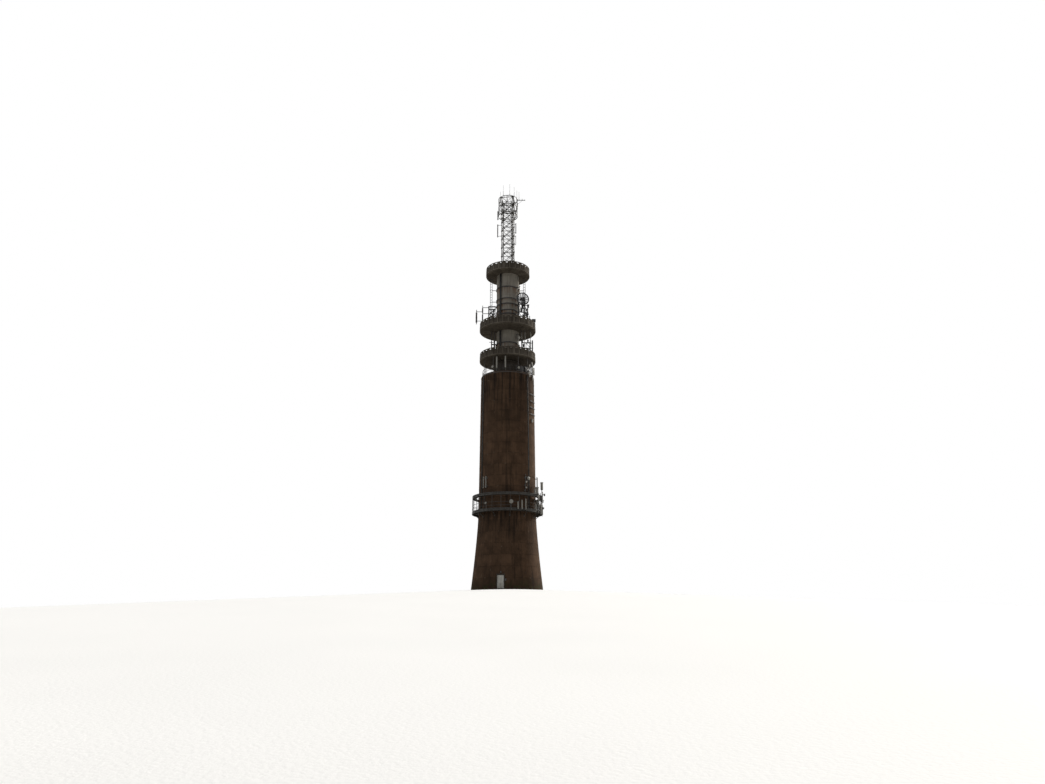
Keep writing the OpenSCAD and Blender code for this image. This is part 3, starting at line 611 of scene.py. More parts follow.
# %% Lamps
def sun(name, bearing, height_angle, strength, spread, tint):
    """A soft sun that shines from a bearing and an angle above level, both in degrees."""
    lamp = bpy.data.lights.new(name, "SUN")
    lamp.energy, lamp.angle, lamp.color = strength, math.radians(spread), tint
    holder = bpy.data.objects.new(name, lamp)
    bpy.context.scene.collection.objects.link(holder)
    holder.rotation_euler = (math.radians(90 - height_angle), 0, math.radians(bearing + 90))
    print(f"{name}: from {bearing} degrees, {height_angle} degrees up, strength {strength}")


sun("low_sun", bearing=50, height_angle=26, strength=3.4, spread=12, tint=(1.0, 0.95, 0.87))
sun("sky_fill", bearing=-160, height_angle=40, strength=0.25, spread=60, tint=(0.90, 0.95, 1.0))

# %% [markdown]
# ## Building pieces
# Each new piece starts as a primitive, is shaped in edit mode and gets its place in its own mesh, so
# that its object stays at the origin like the structure's parts. Things round the tower are modelled
# on the +X side and then turned about the tower's axis. What repeats is modelled once and copied, by
# an Array modifier that turns each copy a step further, or stacks it a step higher.

# %% Helpers for pieces
def settle(obj):
    """Moves an object's place, turn and scale into its mesh."""
    only(obj)
    bpy.ops.object.transform_apply(location=True, rotation=True, scale=True)
    return obj


def merge(parts):
    """Joins several objects into the first of them."""
    clear_selection()
    for part in parts:
        part.select_set(True)
    bpy.context.view_layer.objects.active = parts[0]
    if len(parts) > 1:
        bpy.ops.object.join()
    return parts[0]


def twin(obj):
    """A copy with a mesh of its own."""
    copy = obj.copy()
    copy.data = obj.data.copy()
    bpy.context.scene.collection.objects.link(copy)
    return copy


def turned(obj, bearing):
    """Turns an object about the tower's axis, in degrees."""
    obj.rotation_euler.z = math.radians(bearing)
    return settle(obj)


def repeated(obj, count, turn_by=0.0, raise_by=0.0):
    """Repeats an object count times, each turned and raised a step further than the last."""
    step = bpy.data.objects.new("step", None)
    bpy.context.scene.collection.objects.link(step)
    step.rotation_euler.z = math.radians(turn_by)
    step.location.z = raise_by
    bpy.context.view_layer.update()
    only(obj)
    array = obj.modifiers.new("steps", "ARRAY")
    array.count, array.use_relative_offset, array.use_object_offset = count, False, True
    array.offset_object = step
    bpy.ops.object.modifier_apply(modifier=array.name)
    bpy.data.objects.remove(step)
    return obj


def piece(parts, name, finish, replaces=(), smooth=35, body="tower"):
    """Joins the parts into one finished piece that moves with a body."""
    obj = settle(merge(parts))
    obj.name = obj.data.name = name
    obj.data.materials.clear()
    obj.data.materials.append(finish)
    bpy.ops.object.shade_smooth_by_angle(angle=math.radians(smooth))
    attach(obj, body)
    if replaces:
        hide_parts(*replaces)
    print(f"{name}: {len(obj.data.polygons)} faces")
    return obj


# %% Helpers for blocks, rods, rings and bolts
def block(size, place, chamfer=0.0, turn_y=0.0):
    """A block with its middle at place and its edges chamfered."""
    clear_selection()
    bpy.ops.mesh.primitive_cube_add(size=1, location=place, rotation=(0, turn_y, 0))
    obj = bpy.context.object
    obj.scale = size
    settle(obj)
    edit_all(obj)
    bpy.ops.mesh.bevel(offset=chamfer or min(size) * 0.15, segments=1, affect="EDGES")
    return done()


def both_ends(middle, normal):
    return abs(normal.z) > 0.9


def rod(start, end, radius, sides=10):
    """A round bar between two points, with its ends drawn in."""
    start, end = Vector(start), Vector(end)
    clear_selection()
    bpy.ops.mesh.primitive_cylinder_add(vertices=sides, radius=radius, depth=(end - start).length)
    obj = bpy.context.object
    edit(obj)
    inset_faces(both_ends, (radius * 0.3, radius * 0.15), each=True)
    done()
    obj.rotation_euler = (end - start).to_track_quat("Z", "Y").to_euler()
    obj.location = (start + end) / 2
    return settle(obj)


def upright_rod(x, low_z, high_z, radius, sides=10):
    return rod((x, 0, low_z), (x, 0, high_z), radius, sides)


def hoop(radius, z, width, height, chamfer, steps=96):
    """A ring of rectangular section with cut corners. Its middle is at radius and z."""
    clear_selection()
    bpy.ops.mesh.primitive_plane_add(size=1, location=(radius, 0, z), rotation=(math.radians(90), 0, 0))
    obj = bpy.context.object
    obj.scale = (width, height, 1)
    settle(obj)
    edit_all(obj)
    bpy.ops.mesh.bevel(offset=chamfer, segments=1, affect="VERTICES")
    bpy.ops.mesh.select_all(action="SELECT")
    bpy.ops.mesh.delete(type="ONLY_FACE")
    bpy.ops.mesh.select_all(action="SELECT")
    bpy.ops.mesh.spin(steps=steps, angle=2 * math.pi, center=(0, 0, 0), axis=(0, 0, 1))
    bpy.ops.mesh.select_all(action="SELECT")
    bpy.ops.mesh.remove_doubles(threshold=0.0002)
    bpy.ops.mesh.normals_make_consistent(inside=False)
    return done()


def bolt(place, size=0.012):
    """A hexagonal head on a washer, facing +X."""
    clear_selection()
    bpy.ops.mesh.primitive_cylinder_add(vertices=12, radius=size * 0.95, depth=size * 0.25, location=place,
                                        rotation=(0, math.radians(90), 0))
    obj = settle(bpy.context.object)
    edit(obj)
    inset_faces(towards(x=1), (size * 0.35, 0))
    bpy.ops.mesh.extrude_region_move(TRANSFORM_OT_translate={"value": (size * 0.5, 0, 0)})
    bpy.ops.mesh.inset(thickness=size * 0.12, depth=size * 0.08)
    return done()


def bolt_up(place, size):
    """The same head, facing up."""
    head = bolt((0, 0, 0), size)
    head.rotation_euler.y = math.radians(-90)
    head.location = place
    return settle(head)


def bolt_rows(x, z, sides, lifts, size=0.012):
    """Heads on a plate that faces +X. sides, lifts: how far each is from the plate's middle."""
    return [bolt((x, side, z + lift), size) for side in sides for lift in lifts]


print("helpers for pieces ready")

# %% [markdown]
# ## Lift joints of the shaft
# The wall was cast in lifts, and where one set of shutters met the next a little grout ran out and
# left a lip all round. In low sun these lips draw faint level lines on the lit side. They are too
# small to cut into the wall, so each one is a slim ring laid on it, a finger proud.

# %% Lift joints
shaft_head_r, shaft_head_z, wall_taper = 2.27, 17.8, 0.0074
flare_top_z, flare_reach, flare_curve = 6, 0.4935, 1.35


def shaft_radius(z):
    """Outer radius of the wall at a height, as the structure has it."""
    flare = flare_reach * (1 - z / flare_top_z) ** flare_curve if z < flare_top_z else 0.0
    return shaft_head_r + wall_taper * (shaft_head_z - z) + flare


lift_h, door_head_z = 0.9, 1.2
lips = []
for lift in range(1, 20):
    lip_z = lift * lift_h
    if lip_z < door_head_z or abs(lip_z - service_z - 0.07) < 0.12:
        continue
    lips.append(hoop(shaft_radius(lip_z) + 0.001, lip_z, 0.018, 0.022, 0.006))
piece(lips, "lift_joints", shaft_concrete)

# %% [markdown]
# ## Roof edge of the shaft
# The roof slab ends flush with the wall, so a strip of sheet-metal flashing is dressed over its edge,
# and a low guard rail stands a little in from it. The photograph is dark behind the poles at the right,
# under the lower ring, with only a slit of sky there. Equipment cabinets are a likely reason, so we put
# them there.

# %% Roof flashing and guard rail
flashing = hoop(shaft_top_r + 0.004, shaft_top_z - 0.115, 0.012, 0.05, 0.003)
cap = hoop(shaft_top_r - 0.060, shaft_top_z + 0.004, 0.05, 0.014, 0.005)
piece([flashing, cap], "roof_flashing", dark_paint)

guard_r, guard_h = shaft_top_r - 0.11, 0.50
post = upright_rod(guard_r, shaft_top_z, shaft_top_z + guard_h, 0.014)
foot = block((0.07, 0.07, 0.012), (guard_r, 0, shaft_top_z + 0.008))
posts = repeated(merge([post, foot]), 24, turn_by=15)
rails = [hoop(guard_r, shaft_top_z + h, 0.024, 0.024, 0.007) for h in (guard_h / 2, guard_h)]
piece([posts] + rails, "roof_guard_rail", dark_paint)

# %% Roof cabinets
def cabinet(width, depth, height, place):
    """A sheet-steel cabinet on a plinth, facing +X, with a seam round its door and a rain hood."""
    x, y, z = place
    body = block((depth, width, height), (x, y, z + height / 2 + 0.03), 0.008)
    edit(body)
    inset_faces(towards(x=1), (0.02, 0), (0.006, -0.008), (0.002, 0.010))
    done()
    hood = block((depth + 0.05, width + 0.04, 0.016), (x + 0.01, y, z + height + 0.036), 0.005)
    plinth = block((depth * 0.85, width * 0.9, 0.04), (x, y, z + 0.018), 0.004)
    handle = block((0.012, 0.012, 0.09), (x + depth / 2 + 0.010, y + width * 0.34, z + height * 0.55), 0.003)
    return merge([body, hood, plinth, handle])


cabinet_sizes = ((38, 0.42, 0.55), (57, 0.55, 0.66), (84, 0.40, 0.50), (150, 0.5, 0.6))
cabinet_r, cabinet_depth = 1.86, 0.24
cabinets = [turned(cabinet(width, cabinet_depth, height, (cabinet_r, 0, shaft_top_z)), near + bearing)
            for bearing, width, height in cabinet_sizes]
piece(cabinets, "roof_cabinets", dark_paint)

# %% [markdown]
# ## Ring galleries
# The rims of the three rings are of precast panels. Each has an upright rib over its joint, and a
# coping runs round on top of the open blocks. In the photograph the lit end of every rim shows these
# ribs as narrow stripes, about a metre apart on the real tower. Under each slab a drip edge keeps rain
# from running back along the soffit.

# %% Ribs, copings and drip edges
for ring, panels in (("lower", 32), ("middle", 32), ("top", 24)):
    head_z, top_z = high(ring + "_ring_parapet").z, high(ring + "_ring_rail").z
    slab_low, slab_high = low(ring + "_ring_slab").z, high(ring + "_ring_slab")
    foot_z, rim_r = slab_high.z, slab_high.x
    lean = math.atan2(0.015, head_z - foot_z)
    rib_size = (0.028, 0.075, head_z - foot_z + 0.05)
    rib = block(rib_size, (rim_r - 0.002, 0, (foot_z + head_z) / 2), 0.008, -lean)
    edit(rib)
    inset_faces(towards(x=1), (0.012, 0.006))
    done()
    ribs = repeated(rib, panels, turn_by=360 / panels)
    slab_rim = hoop(rim_r + 0.006, slab_low + 0.065 if ring == "top" else foot_z - 0.065, 0.03, 0.055, 0.010)
    coping = hoop(rim_r - 0.035, top_z + 0.010, 0.085, 0.028, 0.009)
    sill = hoop(rim_r - 0.033, head_z + 0.004, 0.066, 0.016, 0.005)
    drip = hoop(rim_r - 0.07, (foot_z - 0.13) - 0.006, 0.022, 0.020, 0.005)
    piece([ribs, slab_rim, coping, sill, drip], ring + "_ring_rim", rim_concrete)

# %% [markdown]
# ## Aerials and dishes
# The structure stands in for each aerial with a plain box or drum on its pole. Here they become the
# real things. A flat aerial is a moulded cover with a rounded front and capped ends, held to its pole
# by two brackets. A dish has a deep rim, a crowned cover and a cone behind it with a steel mount. Many
# of both have a feeder or two, which leave at the bottom and run down the pole. A drum is a round cover
# that stands on top of its pole. Covers, steelwork and feeders are kept as separate pieces, because they
# have different finishes. All sizes are the real tower's, in metres, brought to the model's size by
# real(). Bearings are counted from the side that faces the camera.

# %% Helpers for aerials
def real(metres):
    return metres * model_scale


covers, mounts, feeders = [], [], []


def add_pole(bearing, radius, low_z, high_z, ties=(), tie_from=0.0, thickness=0.08):
    """An upright tube at a radius and bearing, tied back at some heights to tie_from."""
    x, half, tie_x = real(radius), real(thickness) / 2, real(tie_from)
    parts = [upright_rod(x, real(low_z), real(high_z), half, 14),
             upright_rod(x, real(high_z) - 0.004, real(high_z) + 0.008, half * 1.25, 14)]
    for z in map(real, ties):
        clamp = upright_rod(x, z - 0.028, z + 0.028, half * 1.5, 14)
        arm = block((x - tie_x, 0.036, 0.036), ((x + tie_x) / 2, 0, z), 0.006)
        wall_plate = block((0.012, 0.09, 0.11), (tie_x + 0.004, 0, z), 0.003)
        parts += [clamp, arm, wall_plate] + bolt_rows(tie_x + 0.010, z, (-0.03, 0.03), (-0.038, 0.038))
    mounts.append(turned(merge(parts), near + bearing))


def add_bracket(bearing, radius, z):
    """A clamp round the pole and two side plates that hold whatever stands in front of it."""
    x = real(radius)
    jaw = block((0.05, 0.07, 0.034), (x - 0.012, 0, real(z)), 0.006)
    sides = [block((0.075, 0.006, 0.024), (x + 0.022, side, real(z)), 0.002) for side in (-0.03, 0.03)]
    pin = rod((x + 0.045, -0.038, real(z)), (x + 0.045, 0.038, real(z)), 0.006, sides=8)
    mounts.append(turned(merge([jaw] + sides + [pin]), near + bearing))


def add_feeder(bearing, radius, from_z, to_z, offset=0.0):
    """A cable that leaves a connector at from_z and runs down beside the pole to to_z."""
    x, y, top_z = real(radius), offset, real(from_z)
    bend = ((0.045, 0.0), (0.045, 0.05), (0.034, 0.07), (0.020, 0.082), (0.014, 0.10))
    path = [(x + out, y, top_z - down) for out, down in bend] + [(x + 0.014, y, real(to_z))]
    cable = [rod(a, b, 0.0065, sides=8) for a, b in zip(path, path[1:])]
    nut = rod((x + 0.045, y, top_z + 0.004), (x + 0.045, y, top_z - 0.028), 0.011, sides=6)
    feeders.append(turned(merge(cable + [nut]), near + bearing))


def add_panel(bearing, radius, low_z, high_z, width, depth, cable_to=None):
    """A flat aerial whose back is at a radius: rounded front, capped ends, two brackets."""
    x0, z0, z1 = real(radius), real(low_z), real(high_z)
    clear_selection()
    bpy.ops.mesh.primitive_cube_add(size=1, location=(x0 + real(depth) / 2, 0, (z0 + z1) / 2))
    cover = bpy.context.object
    cover.scale = (real(depth), real(width), z1 - z0)
    settle(cover)
    edit(cover)
    pick("edges", lambda middle, normal: middle.x > x0 + real(depth) * 0.9 and abs(middle.y) > 0.01)
    bpy.ops.mesh.bevel(offset=real(min(width * 0.42, depth * 0.75)), segments=4, affect="EDGES")
    inset_faces(both_ends, (0.004, 0), (0.004, 0.010), each=True)
    inset_faces(towards(x=-1), (0.012, -0.006))
    done()
    collars = [block((real(depth) * 0.9, real(width) + 0.008, 0.014), (x0 + real(depth) * 0.44, 0, z), 0.004)
               for z in (z0 + 0.02, z1 - 0.02)]
    covers.append(turned(merge([cover] + collars), near + bearing))
    for share in (0.16, 0.84):
        add_bracket(bearing, radius, low_z + share * (high_z - low_z))
    if cable_to is not None:
        for offset in (-0.022, 0.022):
            add_feeder(bearing, radius, low_z, cable_to, offset)


def add_dish(bearing, radius, z, diameter, depth, cable_to=None):
    """A round dish that looks outwards, with its back at a radius."""
    x0, deep, r, mid_z = real(radius), real(depth), real(diameter) / 2, real(z)
    clear_selection()
    bpy.ops.mesh.primitive_cylinder_add(vertices=40, radius=r, depth=deep * 0.45,
                                        rotation=(0, math.pi / 2, 0), location=(x0 + deep * 0.775, 0, mid_z))
    drum = settle(bpy.context.object)
    edit(drum)
    crown = [(r * 0.2, deep * rise) for rise in (0.10, 0.07, 0.045, 0.02)]
    inset_faces(towards(x=1), (r * 0.05, -deep * 0.04), *crown)
    inset_faces(towards(x=-1), (r * 0.04, -0.004))
    bpy.ops.mesh.extrude_region_move(TRANSFORM_OT_translate={"value": (-deep * 0.3, 0, 0)})
    bpy.ops.transform.resize(value=(1, 0.55, 0.55), center_override=(x0, 0, mid_z))
    bpy.ops.mesh.inset(thickness=r * 0.2, depth=deep * 0.1)
    done()
    covers.append(turned(drum, near + bearing))
    band = hoop(r * 1.03, 0, 0.008, 0.03, 0.002, steps=40)
    band.rotation_euler.y = math.radians(90)
    band.location = (x0 + deep * 0.78, 0, mid_z)
    yoke = block((0.05, 0.07, 0.13), (x0 - 0.005, 0, mid_z), 0.010)
    hub = rod((x0 - 0.03, 0, mid_z), (x0 + deep * 0.3, 0, mid_z), r * 0.3, sides=16)
    stay = rod((x0, r * 0.2, mid_z + r * 0.25), (x0 + deep * 0.6, r * 0.55, mid_z + r * 0.55), 0.007, sides=8)
    mounts.append(turned(merge([yoke, hub, stay, settle(band)]), near + bearing))
    if cable_to is not None:
        add_feeder(bearing, radius - 0.05, z - diameter * 0.2, cable_to)


def add_drum(bearing, radius, low_z, high_z, width):
    """A round aerial cover that stands on top of a pole, with a flange below and a domed cap."""
    x, half = real(radius), real(width) / 2
    clear_selection()
    bpy.ops.mesh.primitive_cylinder_add(vertices=28, radius=half, depth=real(high_z - low_z),
                                        location=(x, 0, real(low_z + high_z) / 2))
    drum = settle(bpy.context.object)
    edit(drum)
    inset_faces(towards(z=1), *[(half * 0.25, half * rise) for rise in (0.10, 0.07, 0.04)])
    inset_faces(towards(z=-1), (half * 0.15, 0.006))
    done()
    seam = upright_rod(x, real(high_z) - 0.030, real(high_z) - 0.018, half * 1.04, 28)
    covers.append(turned(merge([drum, seam]), near + bearing))
    flange = upright_rod(x, real(low_z) - 0.022, real(low_z) - 0.008, half * 0.8, 20)
    mounts.append(turned(flange, near + bearing))


def clear_aerials():
    for parts in (covers, mounts, feeders):
        parts.clear()


def finish_aerials(name, node):
    """Makes the collected covers, steelwork and cables into pieces that stand for one part."""
    piece(list(covers), name + "_covers", cover_plastic, [node], smooth=40)
    piece(list(mounts), name + "_mounts", zinc)
    piece(list(feeders), name + "_feeders", cable_rubber, smooth=60)
    clear_aerials()


print("helpers for aerials ready")

# %% Aerials on the service gallery
pole_r, face_r, rail_r, pole_foot_z, cable_foot_z = 5.81, 5.845, 5.74, 12.15, 12.2
ties = (12.25, 15.00)
for bearing, high_z, width in ((17, 13.45, 0.17), (23.5, 13.75, 0.17), (30, 13.95, 0.14)):
    add_pole(bearing, pole_r, pole_foot_z, high_z + 0.10, ties[:1], rail_r)
    add_panel(bearing, face_r, 12.30, high_z, width, 0.11, cable_foot_z)
for bearing, z, diameter, depth, high_z in ((6, 13.44, 0.64, 0.20, 13.90), (-35, 13.35, 0.36, 0.16, 13.60)):
    add_pole(bearing, pole_r, pole_foot_z, high_z, ties[:1], rail_r)
    add_dish(bearing, face_r, z, diameter, depth, cable_foot_z)
add_pole(77, pole_r, 11.70, 16.10, ties, rail_r, thickness=0.10)
add_panel(77, face_r, 14.33, 15.70, 0.28, 0.14, cable_to=12.3)
add_drum(77, pole_r, 16.08, 17.25, 0.42)
add_panel(77, face_r, 11.90, 13.50, 0.24, 0.13)
add_pole(68, pole_r, 11.80, 15.36, ties, rail_r)
add_panel(68, face_r, 11.95, 13.70, 0.24, 0.13)
add_pole(59, pole_r, pole_foot_z, 15.36, ties, rail_r)
add_panel(59, face_r, 14.00, 15.20, 0.26, 0.13, cable_to=12.3)
mounts.append(turned(merge([
    rod((real(5.81), 0, real(15.23)), (real(6.20), 0, real(15.23)), 0.016),
    cabinet(0.13, 0.10, 0.13, (real(6.22), 0, real(15.06) - 0.03)),
    cabinet(0.10, 0.09, 0.11, (real(6.04), 0, real(12.90) - 0.03))]), near + 77))
mounts.append(turned(cabinet(0.50, 0.125, 0.15, (real(5.945), 0, real(13.98) - 0.04)), near + 72.5))
for bearing, radius, foot_z, low_z, high_z, width in (
        (64, 5.60, 12.15, 13.05, 13.75, 0.34), (72.5, 5.60, 12.15, 12.75, 13.50, 0.40),
        (55, 5.60, 12.15, 12.30, 13.40, 0.24), (68, 5.25, 12.15, 12.43, 14.25, 0.50),
        (66, 5.30, 14.68, 14.88, 16.30, 0.50), (58, 5.30, 14.68, 14.93, 15.95, 0.34)):
    add_pole(bearing, radius, foot_z, low_z + 0.05)
    add_drum(bearing, radius, low_z, high_z, width)
finish_aerials("gallery_aerials", "service_aerials")

# %% Aerials on the shaft wall
def wall_at(z):
    return shaft_radius(real(z)) / model_scale


pole_r, face_r, wall_r, cable_foot_z = 4.90, 4.935, wall_at(17), 13.0
for bearing in (-44, -51):
    add_pole(bearing, pole_r, 15.95, 17.90, (16.30, 17.60), wall_r)
    add_panel(bearing, face_r, 15.98, 17.87, 0.15, 0.11, cable_foot_z)
add_pole(86, pole_r, 15.92, 18.28, (16.27, 17.98), wall_r)
add_panel(86, face_r, 15.95, 18.25, 0.24, 0.11)
add_pole(36.5, 4.95, 15.20, 18.10, (15.50, 16.40, 17.60), wall_r, thickness=0.09)
add_dish(36.5, 4.99, 16.85, 0.36, 0.17, cable_foot_z)
add_dish(36.5, 4.99, 15.95, 0.30, 0.15)
add_pole(42, 4.88, 17.15, 17.85, (17.25, 17.75), wall_r)
add_dish(42, 4.93, 17.48, 0.64, 0.26, cable_foot_z)
finish_aerials("shaft_aerials", "shaft_aerials")

# %% Aerials on the column and on the shaft roof
column_wall_r = 1.96
add_pole(49, 2.29, 38.63, 43.30, (40.30, 43.10), column_wall_r)
add_dish(49, 2.33, 42.50, 0.64, 0.23, cable_to=38.8)
add_panel(49, 2.33, 40.90, 41.90, 0.23, 0.11)
for bearing, low_z, high_z, width in ((63, 51.00, 52.45, 0.34), (60, 47.30, 48.95, 0.26)):
    add_pole(bearing, 2.26, low_z - 0.15, high_z + 0.15, (low_z + 0.25, high_z - 0.25), column_wall_r)
    add_panel(bearing, 2.30, low_z, high_z, width, 0.14)
finish_aerials("column_aerials", "column_aerials")

roof, under_ring = 35.60, 38.30
pole_r, face_r, outer_pole_r, outer_face_r = 4.25, 4.295, 4.62, 4.665
for bearing in (-70, -35, -25, -5, 25, 52, 59, 66, 75, 110, 150, 200, 245):
    add_pole(bearing, pole_r, roof, under_ring, thickness=0.09)
    mounts.append(turned(block((0.11, 0.11, 0.014), (real(pole_r), 0, real(roof) + 0.008)), near + bearing))
for bearing in (-25, -5):
    add_panel(bearing, face_r, 36.20, 38.20, 0.21, 0.13)
add_panel(59, face_r, 36.60, 37.35, 0.26, 0.13, cable_to=35.7)
add_panel(75, face_r, 37.35, 38.20, 0.26, 0.13)
for bearing, low_z, high_z, width, arms in (
        (66, 34.65, 37.10, 0.28, (35.93, 36.88)), (52, 34.95, 35.95, 0.26, (35.83,)),
        (75, 35.75, 37.05, 0.20, (35.93, 36.83))):
    add_pole(bearing, outer_pole_r, low_z + 0.05, high_z + 0.05, arms, pole_r + 0.02)
    add_panel(bearing, outer_face_r, low_z, high_z, width, 0.12)
add_dish(-35, face_r, 36.50, 0.42, 0.17, cable_to=35.7)
add_dish(25, face_r, 36.25, 0.42, 0.17, cable_to=35.7)
finish_aerials("roof_aerials", "roof_aerials")

# %% [markdown]
# ## Service gallery
# The gallery is a light steel balcony. A toe board runs round the deck's edge, the edge beam has a
# flange above and below like a rolled channel, each post stands on a bolted foot, and splice plates
# join the lengths of the edge beam. Open treads with their bearing bars lie on the deck.

# %% Gallery steelwork
edge_mid_z = (service_z + service_deck_z) / 2
toe_board = hoop(service_r - 0.045, service_deck_z + 0.045, 0.008, 0.080, 0.002)
flanges = [hoop(service_r + 0.001, z, 0.045, 0.014, 0.004)
           for z in (service_z + 0.008, service_deck_z - 0.008)]
post_r = service_r - 0.015
post_foot = block((0.075, 0.085, 0.012), (post_r - 0.012, 0, service_deck_z + 0.008))
foot_bolts = [bolt_up((post_r - 0.040, side, service_deck_z + 0.015), 0.012) for side in (-0.030, 0.030)]
sleeves = [block((0.042, 0.046, 0.040), (post_r, 0, service_deck_z + real(h)), 0.006) for h in (0.55, 1.10)]
head_plate = block((0.050, 0.080, 0.010), (post_r, 0, high("service_posts").z - 0.006))
feet = repeated(merge([post_foot, head_plate] + foot_bolts + sleeves), 24, turn_by=15)
splice = block((0.010, 0.16, 0.10), (service_r + 0.006, 0, edge_mid_z), 0.003)
splice_bolts = bolt_rows(service_r + 0.012, edge_mid_z, (-0.055, -0.02, 0.02, 0.055), (-0.028, 0.028), 0.014)
splices = turned(repeated(merge([splice] + splice_bolts), 12, turn_by=30), 7.5)
piece([toe_board] + flanges + [feet, splices], "gallery_steelwork", shade_dark_zinc)

# %% Top band of the gallery
# The photograph shows the head of the rails as one deep dark band. It is a plate ring bolted to the
# inside of the posts, with a flange above and below and a stiffener between every two posts. A tray
# with the aerials' cables runs round inside it, and closes the band as seen from the ground.
rail_head_z = high("service_top_ring").z
band_h, band_r = 0.19, service_r - 0.036
band_mid_z = rail_head_z - 0.02 - band_h / 2
band = hoop(band_r, band_mid_z, 0.010, band_h, 0.003)
band_flanges = [hoop(band_r - 0.012, band_mid_z + side * (band_h / 2 - 0.006), 0.034, 0.012, 0.003)
                for side in (-1, 1)]
stiffener = block((0.030, 0.010, band_h - 0.02), (band_r - 0.018, 0, band_mid_z), 0.002)
band_bolts = bolt_rows(band_r + 0.005, band_mid_z, (-0.035, 0.035), (-0.06, 0.06), 0.011)
band_fixings = [turned(repeated(stiffener, 24, turn_by=15), 7.5),
                repeated(merge(band_bolts), 24, turn_by=15)]
piece([band] + band_flanges + band_fixings, "gallery_top_band", shade_dark_zinc)
tray_w, tray_z = 0.30, band_mid_z - band_h / 2 + 0.02
tray_r = band_r - 0.010 - tray_w / 2
tray = [hoop(tray_r, tray_z, tray_w, 0.008, 0.002),
        hoop(tray_r - tray_w / 2, tray_z + 0.022, 0.008, 0.052, 0.002)]
tray_strap = block((tray_w - 0.02, 0.030, 0.010), (tray_r, 0, tray_z + 0.060), 0.003)
piece(tray + [repeated(tray_strap, 24, turn_by=15)], "gallery_cable_tray", shade_dark_zinc)
laid_cables = [hoop(tray_r + aside, tray_z + 0.018, 0.026, 0.026, 0.008)
               for aside in (-0.10, -0.065, -0.02, 0.03, 0.06)]
riser_r = service_r - 0.055
for bearing in (-89, -84, 84, 175):
    risers = [rod((riser_r, 0.030 * k, service_deck_z + 0.01), (riser_r, 0.030 * k, tray_z + 0.03), 0.014,
                  sides=8) for k in (-1, 0, 1)]
    cleats = [block((0.022, 0.12, 0.016), (riser_r, 0, service_deck_z + real(h)), 0.003)
              for h in (0.40, 1.30, 2.00)]
    laid_cables.append(turned(merge(risers + cleats), near + bearing))
piece(laid_cables, "gallery_tray_cables", cable_rubber, smooth=60)

# %% Gallery treads and brackets
tread_z = service_deck_z + 0.008
bar_from_r, bar_to_r = 2.47, service_r - 0.08
bearing_bar = block((bar_to_r - bar_from_r, 0.006, 0.016), ((bar_to_r + bar_from_r) / 2, 0, tread_z), 0.001)
bars = repeated(bearing_bar, 180, turn_by=2)
cross_bars = [hoop(2.50 + 0.06 * step, tread_z, 0.008, 0.012, 0.002, steps=72) for step in range(5)]
piece([bars] + cross_bars, "gallery_treads", shade_dark_zinc)

wall_foot_z = service_z - 0.30
knee_wall_r = shaft_radius(wall_foot_z)
knee = rod((knee_wall_r - 0.01, 0, wall_foot_z), (service_r - 0.09, 0, service_z + 0.03), 0.022, sides=8)
knee_plate = block((0.02, 0.11, 0.16), (knee_wall_r + 0.004, 0, wall_foot_z), 0.005)
knee_bolts = bolt_rows(knee_wall_r + 0.013, wall_foot_z, (-0.036, 0.036), (-0.055, 0.055), 0.016)
knees = turned(repeated(merge([knee, knee_plate] + knee_bolts), 12, turn_by=30), 15)
piece([knees], "gallery_brackets", shade_dark_zinc)

# %% [markdown]
# ## Lattice mast
# The structure has the legs, the level bars and the crossed braces. A real lattice is bolted together
# at gusset plates, one in every corner of every bay, and those plates are what makes its joints look
# like dark knots from afar. Every bay also has a lighter level bar through its crossing. One corner of
# one face is modelled, then turned to the four faces and stacked bay by bay. Bearings on the mast are
# counted from +X.

# %% Helpers for steelwork
def at_place(obj, turn, place, swing=0.0):
    """Turns an object about its own upright axis, puts it at a place, then swings it about the tower."""
    obj.matrix_world = (Matrix.Rotation(math.radians(swing), 4, "Z") @ Matrix.Translation(place)
                        @ Matrix.Rotation(math.radians(turn), 4, "Z"))
    return settle(obj)


def angle_iron(start, end, leg=0.030, thickness=0.006):
    """A rolled steel angle between two points."""
    start, end = Vector(start), Vector(end)
    clear_selection()
    bpy.ops.mesh.primitive_plane_add(size=thickness, location=(thickness / 2, thickness / 2, 0))
    obj = settle(bpy.context.object)
    edit(obj)
    pick("edges", lambda middle, normal: middle.x > thickness * 0.9)
    bpy.ops.mesh.extrude_edges_move(TRANSFORM_OT_translate={"value": (leg - thickness, 0, 0)})
    pick("edges", lambda middle, normal: middle.y > thickness * 0.9 and middle.x < thickness)
    bpy.ops.mesh.extrude_edges_move(TRANSFORM_OT_translate={"value": (0, leg - thickness, 0)})
    bpy.ops.mesh.select_all(action="SELECT")
    bpy.ops.mesh.extrude_region_move(TRANSFORM_OT_translate={"value": (0, 0, (end - start).length)})
    bpy.ops.mesh.select_all(action="SELECT")
    bpy.ops.mesh.normals_make_consistent(inside=False)
    done()
    obj.rotation_euler = (end - start).to_track_quat("Z", "Y").to_euler()
    obj.location = start
    return settle(obj)


def tilted(obj, degrees, middle):
    """Turns a whole mesh about a line along X through its middle."""
    edit_all(obj)
    bpy.ops.transform.rotate(value=math.radians(degrees), orient_axis="X", center_override=middle)
    return done()


def plate(width, height, heads=2, size=0.011, thickness=0.008):
    """A bolted plate that faces +X, with its back at the origin and two columns of bolts."""
    sheet = block((thickness, width, height), (thickness / 2, 0, 0), 0.003)
    rows = [0] if heads == 1 else [height * (0.6 * row / (heads - 1) - 0.3) for row in range(heads)]
    return merge([sheet] + bolt_rows(thickness, 0, (-width * 0.28, width * 0.28), rows, size))


print("helpers for steelwork ready")

